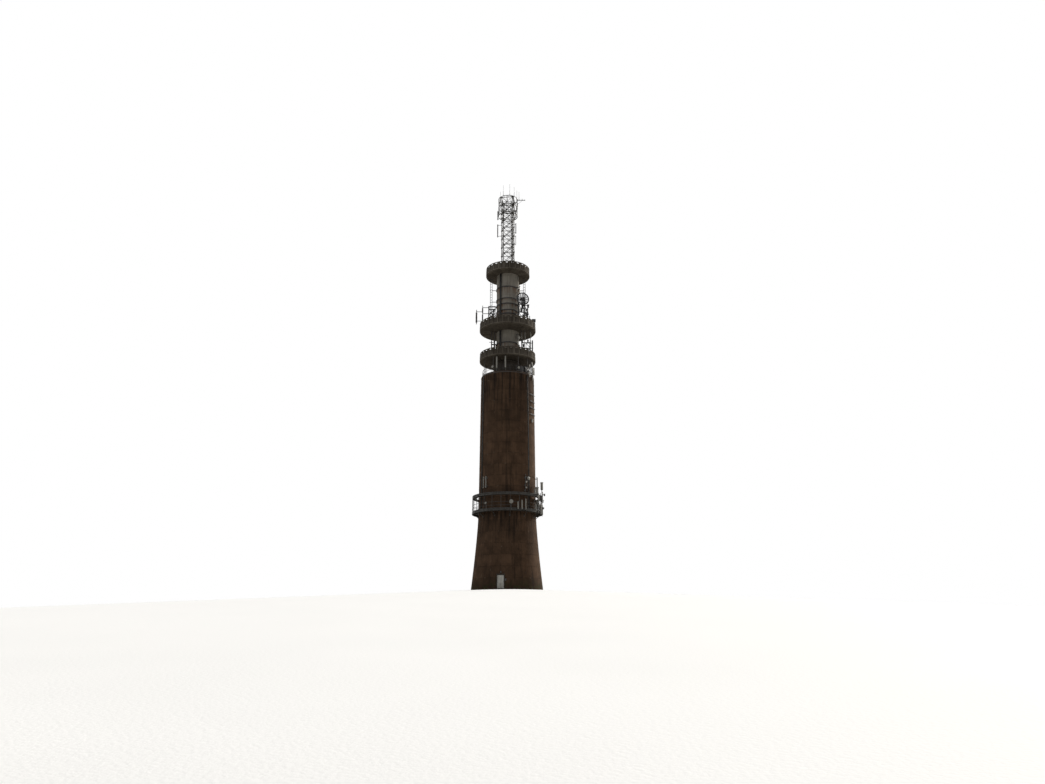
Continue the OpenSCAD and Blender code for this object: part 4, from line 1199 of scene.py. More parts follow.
# %% Gussets and tie bars
bays = 9
level_bar_h, level_bar_mid = 0.0325, 0.016
mast_foot_z = top_ring_deck_z
bay_h = (mast_top_z - mast_foot_z - level_bar_h) / bays
face_x = mast_half + 0.0225
gusset_bolts = ((0.485, 0.055), (0.485, -0.055), (0.485, 0.0), (0.425, 0.032), (0.425, -0.032), (0.38, 0.0))
corner = []
for side in (-1, 1):
    gusset = block((0.008, 0.16, 0.17), (face_x + 0.004, side * 0.435, level_bar_mid), 0.003)
    edit(gusset)
    pick("verts", lambda middle, normal: abs(middle.y) < 0.40)
    bpy.ops.transform.resize(value=(1, 1, 0.35), center_override=(face_x, side * 0.36, level_bar_mid))
    done()
    heads = [bolt((face_x + 0.008, side * across, level_bar_mid + up), 0.013) for across, up in gusset_bolts]
    corner.append(merge([gusset] + heads))
gussets = repeated(repeated(merge(corner), 4, turn_by=90), bays, raise_by=bay_h)
gussets.location.z = mast_foot_z + bay_h
settle(gussets)
crossing_z = mast_foot_z + bay_h / 2 + level_bar_mid
centre = at_place(tilted(plate(0.09, 0.09, heads=1), 45, (0, 0, 0)), 0, (face_x, 0, crossing_z))
tie_x, tie_z = mast_half - 0.034, crossing_z - 0.014
tie = angle_iron((tie_x, -0.457, tie_z), (tie_x, 0.457, tie_z))
centres = repeated(repeated(merge([centre, tie]), 4, turn_by=90), bays, raise_by=bay_h)
leg_middle = mast_half - 0.0275
foot_plate = block((0.15, 0.15, 0.014), (leg_middle, leg_middle, mast_foot_z + 0.007), 0.004)
foot_ribs = [block((0.008, 0.045, 0.10), (leg_middle, leg_middle + y, mast_foot_z + 0.06), 0.003)
             for y in (-0.05, 0.05)]
feet = repeated(merge([foot_plate] + foot_ribs), 4, turn_by=90)
piece([gussets, centres, feet], "mast_gussets", shade_dark_zinc)

# %% [markdown]
# The mast is climbed on its inner side. A ladder stands inside the far face, with a tray of feeders
# beside it, and both show through the lattice as a darker stripe. Step bolts stick out of the right
# near leg, to both sides by turns.

# %% Ladder, feeders and step bolts of the mast
ladder_x, ladder_half = 0.482, 0.11
ladder_low, ladder_high = mast_foot_z + 0.02, mast_top_z - 0.10
ladder_mid_z, first_rung_z = (ladder_low + ladder_high) / 2, ladder_low + 0.10
stiles = [block((0.030, 0.010, ladder_high - ladder_low), (ladder_x, side, ladder_mid_z), 0.002)
          for side in (-ladder_half, ladder_half)]
rung = rod((ladder_x, -ladder_half, first_rung_z), (ladder_x, ladder_half, first_rung_z), 0.0065, sides=8)
ladder = turned(merge(stiles + [repeated(rung, 50, raise_by=0.15)]), 90)
tray_bar = block((0.010, 0.26, 0.020), (0.494, -0.30, ladder_low + 0.2), 0.002)
tray = turned(repeated(tray_bar, 18, raise_by=bay_h / 2), 90)
peg_from, peg_to, peg_step = 0.512, 0.60, 0.15
peg_zs = (ladder_low + peg_step, ladder_low + 2 * peg_step)
peg = rod((leg_middle, -peg_from, peg_zs[0]), (leg_middle, -peg_to, peg_zs[0]), 0.007, sides=8)
other_peg = rod((peg_from, -leg_middle, peg_zs[1]), (peg_to, -leg_middle, peg_zs[1]), 0.007, sides=8)
pegs = repeated(merge([peg, other_peg]), 25, raise_by=2 * peg_step)
piece([ladder, tray, pegs], "mast_ladder", shade_dark_zinc)
cables = [rod((0.478, y, ladder_low), (0.478, y, top_z), 0.011, sides=8)
          for y, top_z in ((-0.20 - 0.034 * k, ladder_high - 0.5 * k) for k in range(7))]
piece([turned(merge(cables), 90)], "mast_feeders", cable_rubber, smooth=60)

# %% Mast head
head_zs = [mast_foot_z + 7 * bay_h, mast_foot_z + 8 * bay_h, mast_top_z - 0.045]
hoop_mid_r, hoop_height = 0.870, 0.045


def on_hoop(turn, z):
    """A point on the middle line of a hoop. turn is in radians."""
    return hoop_mid_r * math.cos(turn), hoop_mid_r * math.sin(turn), z


head_parts = []
for hoop_z in head_zs:
    clamp = block((0.055, 0.075, 0.066), (hoop_mid_r, 0, hoop_z + hoop_height / 2), 0.010)
    pair = merge([turned(clamp, 39.2), turned(twin(clamp), 11.6)])
    head_parts.append(repeated(pair, 4, turn_by=90))
for low_z, high_z in zip(head_zs, head_zs[1:]):
    up = rod(on_hoop(0, low_z + hoop_height), on_hoop(0.26, high_z), 0.010)
    down = rod(on_hoop(0.26, high_z), on_hoop(0.52, low_z + hoop_height), 0.010)
    head_parts.append(repeated(merge([up, down]), 12, turn_by=30))
boom_z = head_zs[2] + hoop_height / 2
boom = [block((0.06, 0.07, 0.09), (x, 0, boom_z), 0.010) for x in (0.89, 1.02)]
boom += [rod((0.90, 0, boom_z - 0.40), (1.35, 0, boom_z - 0.02), 0.012),
         rod((1.55, -0.05, boom_z + 0.01), (1.55, 0.05, boom_z + 0.01), 0.030, sides=16),
         upright_rod(1.30, boom_z + 0.02, boom_z + 0.14, 0.020, 14)]
head_parts.append(turned(merge(boom), aerial_turn))
piece(head_parts, "mast_head_steelwork", shade_dark_zinc)

# %% Aerials on the mast
mast_leg = 0.485


def add_leg_aerial(side, x, low_z, high_z, width):
    """An upright aerial beside a near leg, on two arms that clamp round the leg."""
    x, low_z, high_z, half = real(x), real(low_z), real(high_z), real(width) / 2
    turn, leg_place = 0 if side > 0 else 180, (0, -mast_leg, 0)
    body = upright_rod(x, low_z, high_z, half, 16)
    caps = [upright_rod(x, z - 0.012, z + 0.012, half + 0.006, 16) for z in (low_z + 0.02, high_z - 0.02)]
    covers.append(at_place(merge([body] + caps), turn, leg_place))
    for z in (low_z + 0.09, high_z - 0.09):
        arm = rod((mast_leg + 0.03, 0, z), (x - half + 0.01, 0, z), 0.017)
        jaws = [block((0.020, 0.10, 0.06), (mast_leg + shift, 0, z), 0.005) for shift in (-0.038, 0.040)]
        grip = block((0.04, 2 * half + 0.02, 0.034), (x - half, 0, z), 0.006)
        mounts.append(at_place(merge([arm, grip] + jaws), turn, leg_place))
    lead = rod((x - half - 0.012, 0.02, low_z + 0.09), (mast_leg + 0.04, 0.02, low_z + 0.05), 0.007, sides=8)
    feeders.append(at_place(lead, turn, leg_place))


for side, x, low_z, high_z, width in ((-1, 1.72, 65.70, 67.45, 0.15), (-1, 1.72, 62.20, 64.75, 0.15),
                                      (1, 1.62, 65.75, 67.40, 0.13), (1, 1.62, 62.65, 64.70, 0.13),
                                      (1, 1.60, 60.35, 62.25, 0.075)):
    add_leg_aerial(side, x, low_z, high_z, width)
radiator_r = hoop_mid_r + 0.045
for lower, upper, bearings in ((0, 1, (-100, -20, 60, 130, 185)),
                               (1, 2, (-150, -130, -85, -45, -10, 20, 75, 110, 170))):
    low_z, high_z = head_zs[lower] + hoop_height, head_zs[upper]
    for bearing in bearings:
        tube = upright_rod(hoop_mid_r, low_z, high_z, 0.019, 12)
        sockets = [block((0.05, 0.06, 0.06), (hoop_mid_r, 0, z), 0.008)
                   for z in (low_z + 0.02, high_z - 0.02)]
        radiator = upright_rod(radiator_r, low_z + 0.2, high_z - 0.2, 0.012, 10)
        links = [rod((hoop_mid_r, 0, z), (radiator_r, 0, z), 0.009) for z in (low_z + 0.28, high_z - 0.28)]
        mounts.append(turned(merge([tube, radiator] + sockets + links), bearing))
piece(list(covers), "mast_aerials_bodies", dark_paint, ["mast_aerials"], smooth=40)
piece(list(mounts), "mast_aerials_mounts", dark_paint)
piece(list(feeders), "mast_aerials_feeders", cable_rubber, smooth=60)
clear_aerials()

# %% Whips
whip_foot_z = head_zs[2] + hoop_height


def whip(bearing, radius, top_z):
    """A whip in a socket: a thick lower tube, a ferrule and a thin upper rod with a bead on its tip."""
    joint_z = whip_foot_z + 0.38 * (top_z - whip_foot_z)
    parts = [upright_rod(radius, whip_foot_z, whip_foot_z + 0.09, 0.022, 12),
             upright_rod(radius, whip_foot_z + 0.08, joint_z, 0.0125, 12),
             upright_rod(radius, joint_z - 0.02, joint_z + 0.02, 0.016, 12),
             upright_rod(radius, joint_z, top_z - 0.02, 0.0085),
             upright_rod(radius, top_z - 0.03, top_z, 0.0125)]
    return turned(merge(parts), bearing)


whip_top_z = cad_high.z - 0.003
whips = [whip(bearing, hoop_mid_r, whip_top_z - 0.11 * (index % 3))
         for index, bearing in enumerate((155, -110, 110, -70, 80, -40, 30))]
whips.append(whip(aerial_turn, 1.015, whip_foot_z + 0.85))
piece(whips, "whips", dark_paint, ["whip_aerials"], smooth=50)

# %% [markdown]
# ## The upper column
# Steel bands are clamped round the column to carry aerials. Each is made of four quarters with bolted
# lugs between them, and has small saddles where an aerial may be fixed. A cable ladder climbs the
# column at the left. Such ladders are two rails with flat rungs, the cables lie on the rungs, and a
# cleat holds them down at each rung. The shaft has two more, which lean in with its taper.

# %% Lugs and saddles of the column's bands
band_zs = (20.785, 23.46, 23.785, 24.385, 24.885, 25.985)
band_parts = []
for index, band_z in enumerate(band_zs):
    lug_sides = [block((0.055, 0.014, 0.066), (1.052, side, band_z), 0.004) for side in (-0.020, 0.020)]
    clamp_bolts = [rod((1.055, -0.050, band_z + lift), (1.055, 0.050, band_z + lift), 0.008, sides=6)
                   for lift in (-0.018, 0.018)]
    lugs = turned(repeated(merge(lug_sides + clamp_bolts), 4, turn_by=90), 20 + 25 * index)
    saddle = merge([block((0.030, 0.09, 0.085), (1.040, 0, band_z), 0.006)]
                   + bolt_rows(1.055, band_z, (0,), (0.022, -0.022), 0.011))
    saddles = turned(repeated(saddle, 8, turn_by=45), 6 + 17 * index)
    edges = [hoop(1.032, band_z + lift, 0.010, 0.010, 0.003) for lift in (-0.034, 0.034)]
    band_parts += [lugs, saddles] + edges
piece(band_parts, "band_fittings", dark_paint)

# %% Cable ladders
ladder_steel, ladder_cables = [], []
cable_pitch = 0.022


def cable_ladder(bearing, low_z, high_z, foot_r, taper=0.0, cables=6, pitch=0.6):
    """Cables on a ladder that is held off a wall. foot_r: radius of the wall at low_z."""
    half, length, rung_z = cable_pitch / 2 * cables + 0.02, high_z - low_z, 0.06
    count = max(2, int(length / pitch))
    rung = merge([block((0.010, 2 * half, 0.032), (0.040, 0, rung_z), 0.002),
                  block((0.012, 2 * half - 0.01, 0.018), (0.074, 0, rung_z), 0.003)]
                 + [rod((0.066, side, rung_z), (0.084, side, rung_z), 0.006, sides=6)
                    for side in (half - 0.008, 0.008 - half)]
                 + [block((0.045, 0.022, 0.022), (0.020, side, rung_z), 0.004)
                    for side in (half - 0.012, 0.012 - half)])
    rungs = repeated(rung, count, raise_by=(length - 2 * rung_z) / (count - 1))
    rails = [block((0.034, 0.008, length), (0.052, side * half, length / 2), 0.002) for side in (-1, 1)]
    lines = [rod((0.057, y, 0), (0.057, y, length), 0.0095, sides=8)
             for y in (cable_pitch * (k - (cables - 1) / 2) for k in range(cables))]
    for parts, made in ((ladder_steel, merge([rungs] + rails)), (ladder_cables, merge(lines))):
        made.rotation_euler.y = -math.atan(taper)
        made.location = (foot_r, 0, low_z)
        parts.append(turned(settle(made), near + bearing))


for ring, high_z in (("lower", low("middle_ring_slab").z), ("middle", top_ring_z)):
    cable_ladder(-38, high(ring + "_ring_slab").z + 0.01, high_z, 0.98, cables=7)
for bearing, cables in ((-61, 4), (47, 3)):
    low_z = service_deck_z + 0.02
    cable_ladder(bearing, low_z, 17.55, shaft_radius(low_z), wall_taper, cables, pitch=0.9)
piece(ladder_steel, "cable_ladders", shade_dark_zinc)
piece(ladder_cables, "ladder_cables", cable_rubber, smooth=60)

# %% Bracket rails on the shaft
# Four rows of three short rails of channel on stand-offs, and a pale junction box under them, at the right.
rail_parts = []
for rail_z in (14.30, 14.87, 15.42, 16.02):
    wall = shaft_radius(rail_z)
    for bearing in (58, 66, 74):
        rail = block((0.035, 0.26, 0.035), (wall + 0.075, 0, rail_z), 0.005)
        stand = [block((0.065, 0.03, 0.03), (wall + 0.03, side, rail_z), 0.004) for side in (-0.09, 0.09)]
        base = [block((0.008, 0.07, 0.09), (wall + 0.004, side, rail_z), 0.002) for side in (-0.09, 0.09)]
        heads = bolt_rows(wall + 0.008, rail_z, (-0.09, 0.09), (-0.03, 0.03), 0.010)
        rail_parts.append(turned(merge([rail] + stand + base + heads), near + bearing))
piece(rail_parts, "bracket_rails", zinc)
box_z, box_h = 13.60, 0.22
junction_box = cabinet(0.16, 0.11, box_h, (shaft_radius(13.75) + 0.07, 0, box_z))
piece([turned(junction_box, near + 61)], "junction_box", cover_plastic)

# %% [markdown]
# ## Grid dish
# The dish at the right is an open net on ribs, so that the wind goes through it. A disc is inset ring by
# ring, its rings are lowered to a parabola, and a Wireframe modifier turns the faces into a net. Behind
# it twelve trussed ribs meet at the hub, a heavy tube makes the rim, and four struts hold the feed. It
# is built looking straight up and then turned to its bearing.

# %% Net of the dish
dish_r, dish_deep, dish_back = 0.525, 0.170, -0.1425
net_rings, net_sides = 7, 24


def dish_depth(radius):
    return dish_back + dish_deep * (radius / dish_r) ** 2


clear_selection()
bpy.ops.mesh.primitive_circle_add(vertices=net_sides, radius=dish_r, fill_type="NGON")
net = bpy.context.object
edit_all(net)
for step in range(net_rings - 1):
    bpy.ops.mesh.inset(thickness=dish_r / net_rings * math.cos(math.pi / net_sides), depth=0)
done()
for corner_point in net.data.vertices:
    corner_point.co.z = dish_depth(corner_point.co.xy.length)
wires = net.modifiers.new("wires", "WIREFRAME")
wires.thickness, wires.use_even_offset = 0.027, False
only(net)
bpy.ops.object.modifier_apply(modifier=wires.name)
print(f"net: {len(net.data.polygons)} faces")

# %% Ribs, rim and feed of the dish
clear_selection()
bpy.ops.mesh.primitive_torus_add(major_radius=dish_r, minor_radius=0.052, major_segments=72,
                                 minor_segments=10, location=(0, 0, dish_depth(dish_r) + 0.004))
rim = settle(bpy.context.object)
edit(rim)
inset_faces(lambda middle, normal: abs(normal.z) < 0.4 and middle.xy.length > dish_r, (0.003, 0.004))
done()
stations = [0.07, 0.20, 0.33, 0.44, 0.515]
front = [(r, 0, dish_depth(r) - 0.008) for r in stations]
behind = [(r, 0, dish_depth(r) - 0.075 * (1 - r / 0.56)) for r in stations]
rib = [rod(a, b, 0.028, sides=6) for a, b in zip(front, front[1:])]
rib += [rod(a, b, 0.019, sides=6) for a, b in zip(behind, behind[1:])]
rib += [rod(a, b, 0.014, sides=6) for a, b in zip(front[1:4], behind[:3])]
ribs = repeated(merge(rib), 12, turn_by=30)
hub = upright_rod(0, dish_back - 0.075, dish_back + 0.02, 0.110, 32)
hub_bolts = [turned(bolt_up((0.068, 0, dish_back + 0.026), 0.010), 45 * turn) for turn in range(8)]
stalk = upright_rod(0, dish_back, 0.27, 0.017, 14)
horn = [upright_rod(0, 0.255, 0.335, 0.052, 24), upright_rod(0, 0.235, 0.26, 0.032, 20),
        upright_rod(0, 0.335, 0.345, 0.040, 24)]
strut = repeated(rod((0.40, 0, dish_depth(0.40)), (0.035, 0, 0.262), 0.007, sides=8), 4, turn_by=90)
dish_steel = merge([net, rim, ribs, hub, stalk, strut] + hub_bolts + horn)
brackets = merge([block((0.05, 0.64, 0.05), (-0.200, -0.065, 0), 0.008),
                  block((0.05, 0.12, 0.20), (-0.190, 0, 0), 0.010)]
                 + [block((0.10, 0.085, 0.014), (-0.185, across, up), 0.004)
                    for across in (-0.35, 0.225) for up in (-0.035, 0.035)])
dish_turn = -72
dish_x, dish_y, dish_z = real(2.6), real(-2.7), real(49.27)
dish_steel.rotation_euler.y = math.radians(90)
for made in (settle(dish_steel), brackets):
    at_place(made, dish_turn, (dish_x, dish_y, dish_z), aerial_turn)
piece([dish_steel], "grid_dish_net", dark_paint, ["grid_dish"], smooth=40)
piece([brackets], "grid_dish_mount", dark_paint)

# %% [markdown]
# ## Joints of the aerial frames
# The frames beside the column are welded and bolted up from square tube. The structure has the tubes.
# What it leaves out are the plates at the joints, the feet on the ring's floor and the clamps on the
# booms, which make the frames look busy from the ground. One plate and one clamp are modelled, and
# copies go to every joint. Cable trunking and small radio units hang on the frames as well. Places are
# the real tower's, in metres, in a frame that is turned by aerial_turn.

# %% Joint plates and feet
joint_plate = plate(0.085, 0.085, heads=2, size=0.010)
foot_plate = merge([block((0.13, 0.13, 0.012), (0, 0, 0.007), 0.004)]
                   + [block((0.006, 0.035, 0.05), (0, side, 0.035), 0.002) for side in (-0.045, 0.045)])
tube_clamp = block((0.070, 0.070, 0.045), (0, 0, 0), 0.008)
fittings = []


def fit(master, places, turn=-90, swing=aerial_turn):
    """Copies a fitting to places given in real metres in the frame of the aerials."""
    for place in places:
        fittings.append(at_place(twin(master), turn, [real(part) for part in place], swing))


lower_floor, middle_floor = 38.63, 44.26
left_y, inner_y, right_y, tube_face = -1.50, -0.70, -0.50, 0.06
left_posts, inner_posts, right_posts = (-3.30, -2.20), (-2.80, -2.30), (2.45, 3.20, 3.97, 4.35)
loop_xs, lamp_posts, boom_xs = (-4.40, -5.45), (-0.70, 0.10), (2.78, 3.10)
fit(joint_plate, [(x, left_y - tube_face, z) for x in left_posts for z in (45.95, 46.875, 47.80, 48.30)])
fit(joint_plate, [(-2.75, left_y - 0.04, z) for z in (46.41, 47.34)])
fit(joint_plate, [(x, inner_y - tube_face, lower_floor + up) for x in inner_posts
                  for up in (0.70, 1.40, 2.25, 3.30)])
fit(joint_plate, [(x, right_y - tube_face, lower_floor + up) for x in right_posts
                  for up in (1.30, 2.30, 3.25)])
fit(foot_plate, [(x, left_y, middle_floor) for x in left_posts]
    + [(x, inner_y, lower_floor) for x in inner_posts] + [(x, right_y, lower_floor) for x in right_posts]
    + [(3.85, y, middle_floor) for y in lamp_posts] + [(4.30, -1.20, middle_floor)]
    + [(side * x, 0, middle_floor) for side in (-1, 1) for x in boom_xs])
fit(tube_clamp, [(loop_xs[0], left_y, z) for z in (46.95, 48.08)]
    + [(x, left_y, z) for x in loop_xs for z in (45.56, 47.30)]
    + [(side * x, 0, z) for side in (-1, 1) for x in boom_xs for z in (49.77, 51.97, 46.2, 54.1)]
    + [(3.85, y, z) for y in lamp_posts for z in (45.90, 46.85)])
for x, z, along in ((-4.40, 45.45, -1), (-4.40, 48.35, 1), (-5.45, 45.05, -1), (-5.45, 47.57, 1)):
    cap = merge([upright_rod(0, 0, 0.035 * along, 0.030, 16),
                 upright_rod(0, 0.03 * along, 0.05 * along, 0.016, 12)])
    fittings.append(at_place(cap, 0, (real(x), real(left_y), real(z)), aerial_turn))
for master in (joint_plate, foot_plate, tube_clamp):
    bpy.data.objects.remove(master)
piece(fittings, "frame_fittings", dark_paint)

# %% Trunking and sleeves of the left frame
# The outer post and the top bar of the frame carry closed cable trunking, and the uprights of the loop
# are thick sleeves between collars, which makes both much darker against the sky than bare tube. Small
# radio units hang inside the frame.
def trunk(width, length):
    """Closed cable trunking that stands upright, with a lid and a band every half metre."""
    depth, band_gap = 0.055, 0.25
    channel = block((width, depth, length), (0, 0, 0), 0.006)
    lid = block((width + 0.010, 0.008, length - 0.01), (0, -depth / 2 - 0.003, 0), 0.002)
    count = max(2, round(length / band_gap))
    band = block((width + 0.016, depth + 0.022, 0.014), (0, 0, 0.05 - length / 2), 0.003)
    return merge([channel, lid, repeated(band, count, raise_by=(length - 0.10) / (count - 1))])


def upright_trunk(x, y, low_z, high_z, width):
    """Trunking on the near side of a post."""
    trunking = trunk(width, real(high_z - low_z))
    return at_place(trunking, 0, (real(x), real(y) - 0.056, real(low_z + high_z) / 2), aerial_turn)


def level_trunk(from_x, to_x, y, z, width=0.085):
    """Trunking on the near side of a level bar."""
    trunking = trunk(width, real(to_x - from_x))
    trunking.rotation_euler.y = math.radians(90)
    return at_place(settle(trunking), 0, (real(from_x + to_x) / 2, real(y) - 0.052, real(z)), aerial_turn)


def sleeve(x, low_z, high_z, thickness):
    """A thick round sleeve on an upright of the loop, with collars."""
    half = real(thickness) / 2
    body = upright_rod(0, real(low_z), real(high_z), half, 20)
    collars = [upright_rod(0, real(z) - 0.012, real(z) + 0.012, half * 1.15, 20)
               for z in (low_z + 0.06, (low_z + high_z) / 2, high_z - 0.06)]
    return at_place(merge([body] + collars), 0, (real(x), real(left_y), 0), aerial_turn)


def radio_unit(width, height):
    """A small finned box that hangs on a bar, with two connectors below."""
    box = cabinet(width, 0.075, height, (0, 0, -height / 2 - 0.03))
    fin = block((0.016, width * 0.85, 0.008), (-0.042, 0, 0.03 - height / 2), 0.002)
    fins = repeated(fin, round(height / 0.03), raise_by=0.028)
    plugs = [rod((0, side, -height / 2 - 0.05), (0, side, -height / 2), 0.009, sides=8)
             for side in (-0.025, 0.025)]
    return merge([box, fins] + plugs)


def hung_unit(x, y, z, width, height, proud):
    """A radio unit that stands proud of a frame on its near side."""
    return at_place(radio_unit(width, height), -90, (real(x), real(y) - proud, real(z)), aerial_turn)


left_frame = [upright_trunk(-3.30, left_y, 44.325, 48.175, 0.095),
              level_trunk(-3.325, -2.175, left_y, 48.20), level_trunk(-3.28, -2.08, left_y, 47.70),
              sleeve(-5.45, 45.30, 47.12, 0.25), sleeve(-4.40, 45.72, 46.78, 0.19),
              sleeve(-4.40, 47.10, 47.95, 0.19)]
left_frame += [hung_unit(x, left_y, z, width, height, proud=0.060) for x, z, width, height in (
    (-2.45, 47.38, 0.15, 0.17), (-2.57, 46.72, 0.16, 0.19), (-2.92, 47.05, 0.11, 0.14),
    (-2.95, 46.35, 0.12, 0.15), (-2.45, 45.98, 0.13, 0.18))]
piece(left_frame, "left_frame_trunking", dark_paint)

# %% Trunking and radio units of the lower frames
# The same trunking and units, on the two frames between the lower and the middle ring.
lower_parts = [upright_trunk(x, y, lower_floor + from_up, lower_floor + to_up, width)
               for x, y, from_up, to_up, width in (
                   (-2.30, inner_y, 1.50, 3.55, 0.125), (-2.80, inner_y, 1.50, 3.45, 0.080),
                   (3.90, right_y, 1.20, 3.45, 0.105), (4.28, right_y, 1.20, 3.70, 0.080))]
lower_parts += [level_trunk(-2.90, -1.97, inner_y - 0.12, lower_floor + 2.80),
                level_trunk(2.40, 3.80, right_y, lower_floor + 3.25),
                level_trunk(3.00, 3.85, right_y, lower_floor + 2.25, 0.075)]
lower_parts += [hung_unit(x, right_y, lower_floor + up, width, height, proud=0.100)
                for x, up, width, height in ((2.72, 2.72, 0.17, 0.22), (2.52, 3.60, 0.15, 0.20),
                                             (2.45, 2.20, 0.15, 0.18), (3.52, 3.58, 0.13, 0.15))]
piece(lower_parts, "lower_frame_trunking", dark_paint)

# %% Fittings of the dish frame
# Its posts stand in a frame that is turned with the dish.
fittings.clear()
turned_frame = (Matrix.Rotation(math.radians(aerial_turn), 4, "Z") @ Matrix.Translation((dish_x, dish_y, 0))
                @ Matrix.Rotation(math.radians(dish_turn), 4, "Z"))
posts_x, post_ys, bar_zs = real(-0.33), (-0.70, 0.45, 1.05), (45.46, 46.86, 48.26)
lying = Matrix.Rotation(math.radians(90), 4, "X") @ Matrix.Rotation(math.radians(90), 4, "Z")


def at_dish_frame(obj, proud, y, z, turn=Matrix()):
    """Puts an object that far in front of the posts, at y and z in real metres."""
    obj.matrix_world = turned_frame @ Matrix.Translation((posts_x + proud, real(y), real(z))) @ turn
    fittings.append(settle(obj))


for y, z in [(y, z) for y in post_ys for z in bar_zs] + [(y, 49.27) for y in post_ys[:2]]:
    at_dish_frame(plate(0.085, 0.085, heads=2, size=0.010), 0.030, y, z)
for y in post_ys:
    at_dish_frame(block((0.13, 0.13, 0.012), (0, 0, 0.007), 0.004), 0, y, middle_floor)
for y, z, proud, width, height in ((0.14, 48.24, -0.085, 0.20, 0.50), (1.05, 48.12, 0.075, 0.17, 0.25),
                                   (-0.20, 47.15, 0.075, 0.16, 0.22), (0.78, 47.35, 0.075, 0.14, 0.20),
                                   (0.20, 46.10, 0.075, 0.18, 0.24), (0.80, 46.35, 0.075, 0.15, 0.22)):
    at_dish_frame(radio_unit(width, height), proud, y, z)
for y, z, length in ((0.18, 46.86, 1.85), (0.10, 47.52, 0.95), (0.75, 46.62, 0.90)):
    at_dish_frame(trunk(0.085, real(length)), 0.052, y, z, lying)
leads = []
for y, top_z in ((-0.70, 49.6), (0.45, 49.6), (1.05, 48.2)):
    for k in range(3):
        lead_x, lead_y = posts_x - 0.040, real(y) + 0.026 * (k - 1)
        foot_z = real(middle_floor) + 0.01
        lead = rod((lead_x, lead_y, foot_z), (lead_x, lead_y, real(top_z)), 0.0115, sides=8)
        lead.matrix_world = turned_frame
        leads.append(settle(lead))
piece(leads, "dish_frame_leads", cable_rubber, smooth=60)
piece(list(fittings), "dish_frame_fittings", dark_paint)

# %% Conduit posts under the middle ring
# Three pale posts run from the floor of the lower ring to the soffit of the middle one, which drops a
# little towards the column.
rim_soffit, soffit_drop, drop_from_r, drop_length = 44.0, 0.16, 3.46, 1.5
for x, y in ((2.38, -1.05), (2.95, -1.25), (3.92, -1.30)):
    radius, bearing = math.hypot(x, y), math.degrees(math.atan2(y, x)) + aerial_turn - near
    soffit = rim_soffit - soffit_drop * max(0.0, drop_from_r - radius) / drop_length
    add_pole(bearing, radius, lower_floor, soffit - 0.02, thickness=0.08)
    for width, z in ((0.10, real(lower_floor) + 0.007), (0.09, real(soffit) - 0.014)):
        mounts.append(turned(block((width, width, 0.012), (real(radius), 0, z)), near + bearing))
    add_panel(bearing, radius + 0.04, 42.50, 43.65, 0.13, 0.09)
piece(list(covers), "conduit_covers", cover_plastic, smooth=40)
piece(list(mounts), "conduit_posts", zinc)
clear_aerials()

# %% Flood lamp
# The structure has its housing. Fins, hood, front frame and yoke are added.
lamp_y, lamp_z = real(-1.20), real(45.77)
housing_back_x, housing_front_x, yoke_x = real(4.20), real(4.85), real(4.50)
first_fin_z, fin_gap = real(45.56) + 0.03, 0.03
lamp_fins = [block((0.016, 0.24, 0.012), (housing_back_x - 0.006, lamp_y, first_fin_z + fin_gap * k), 0.003)
             for k in range(6)]
front_frame = block((0.014, 0.245, 0.205), (housing_front_x + 0.004, lamp_y, lamp_z), 0.004)
edit(front_frame)
inset_faces(towards(x=1), (0.018, 0), (0.004, -0.008))
done()
hood = block((0.30, 0.27, 0.010), (real(4.56), lamp_y, real(45.98) + 0.012), 0.004)
yoke = [block((0.035, 0.012, 0.15), (yoke_x, lamp_y + side, real(45.70)), 0.003) for side in (-0.134, 0.134)]
yoke += [rod((yoke_x, lamp_y - 0.145, lamp_z), (yoke_x, lamp_y + 0.145, lamp_z), 0.012)]
lamp = merge(lamp_fins + [front_frame, hood] + yoke)
piece([turned(lamp, aerial_turn)], "flood_lamp_fittings", dark_paint)

# %% [markdown]
# ## Entrance
# The leaf is a plain steel security door. It gets a louvre in its lower panel, ribs pressed into the
# upper one, bolts through its straps, a lock and a thin plate near its foot. These ride on the door, so
# they swing with it. The drip cap, the beads beside the leaf, the sill plate, the lamp and the entry box stay
# on the wall.

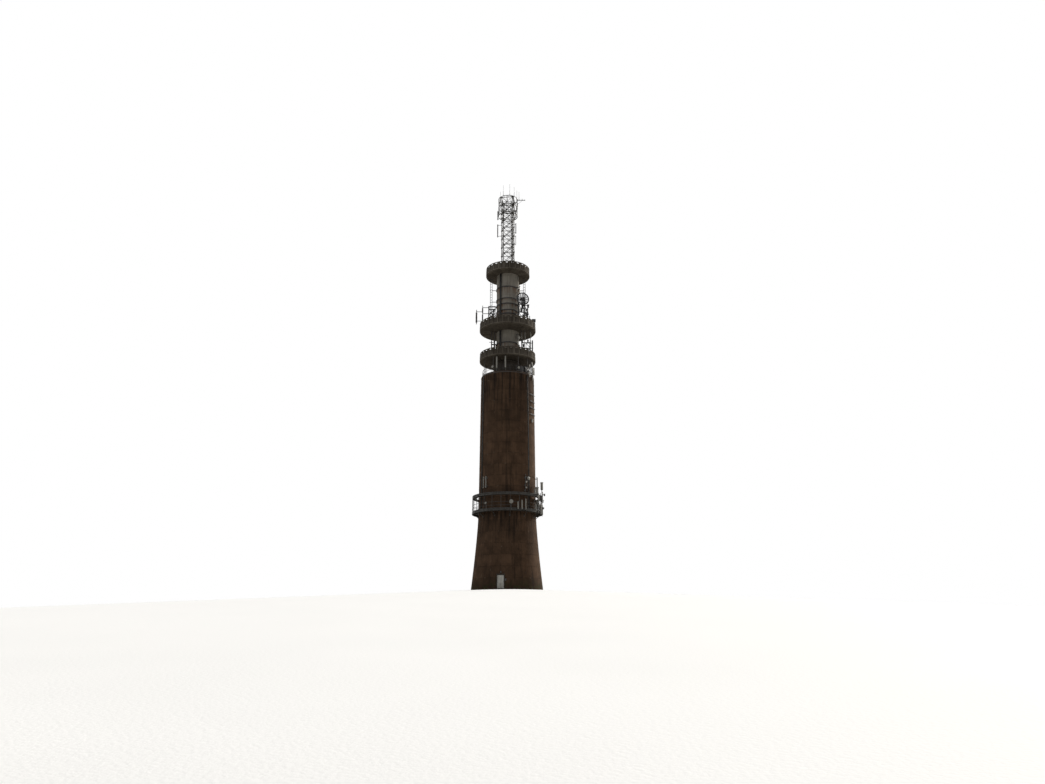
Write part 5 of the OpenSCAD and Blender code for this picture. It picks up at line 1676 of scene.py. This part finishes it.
# %% Fittings on the door leaf
recess_y, strap_y = -2.869, -2.8795
leaf_parts = []
for row in range(11):
    slat_middle = (0.015, recess_y - 0.004, 0.18 + 0.030 * row)
    leaf_parts.append(tilted(block((0.32, 0.004, 0.030), slat_middle, 0.001), -28, slat_middle))
leaf_parts += [block((0.30, 0.006, 0.012), (0.015, recess_y - 0.002, z), 0.003)
               for z in (0.68, 0.76, 0.84, 0.92)]
leaf_parts += [at_place(bolt((0, 0, 0), 0.008), -90, (x, strap_y, hinge_z))
               for hinge_z in (0.205, 0.575, 0.945) for x in (-0.205, -0.165, -0.130)]
piece(leaf_parts, "door_louvre", door_coat, body="door")
lock_x, lock_z = 0.2145, 0.585
lock = [rod((lock_x, -2.876, lock_z), (lock_x, -2.886, lock_z), 0.012, sides=16),
        block((0.006, 0.004, 0.012), (lock_x, -2.887, lock_z), 0.001),
        block((0.40, 0.003, 0.05), (0.0, -2.8765, 0.105), 0.001)]
piece(lock, "door_lock", zinc, body="door")

# %% Fittings round the doorway
drip = block((0.66, 0.045, 0.014), (0, -2.892, 1.158), 0.004)
side_beads = [block((0.012, 0.010, 1.05), (side * 0.294, -2.880, 0.60), 0.003) for side in (-1, 1)]
sill_plate = block((0.50, 0.10, 0.006), (0, -2.845, 0.078), 0.002)
lamp_z, guard_x = 1.30, 2.818
door_lamp = merge([rod((2.75, 0, lamp_z), (2.775, 0, lamp_z), 0.062, sides=24),
                   rod((2.77, 0, lamp_z), (2.80, 0, lamp_z), 0.050, sides=24)]
                  + [block((0.050, 0.006, 0.006), (2.795, 0, lamp_z + up), 0.002) for up in (-0.052, 0.052)]
                  + [block((0.006, 0.006, 0.11), (guard_x, 0, lamp_z), 0.002),
                     block((0.006, 0.11, 0.006), (guard_x, 0, lamp_z), 0.002),
                     rod((2.735, 0, 1.35), (2.70, 0, 1.62), 0.009, sides=8)])
entry_box = cabinet(0.09, 0.045, 0.13, (shaft_radius(0.75) + 0.02, 0, 0.66))
piece([drip] + side_beads + [sill_plate, turned(door_lamp, -90), turned(entry_box, -82.2)],
      "doorway_fittings", zinc)
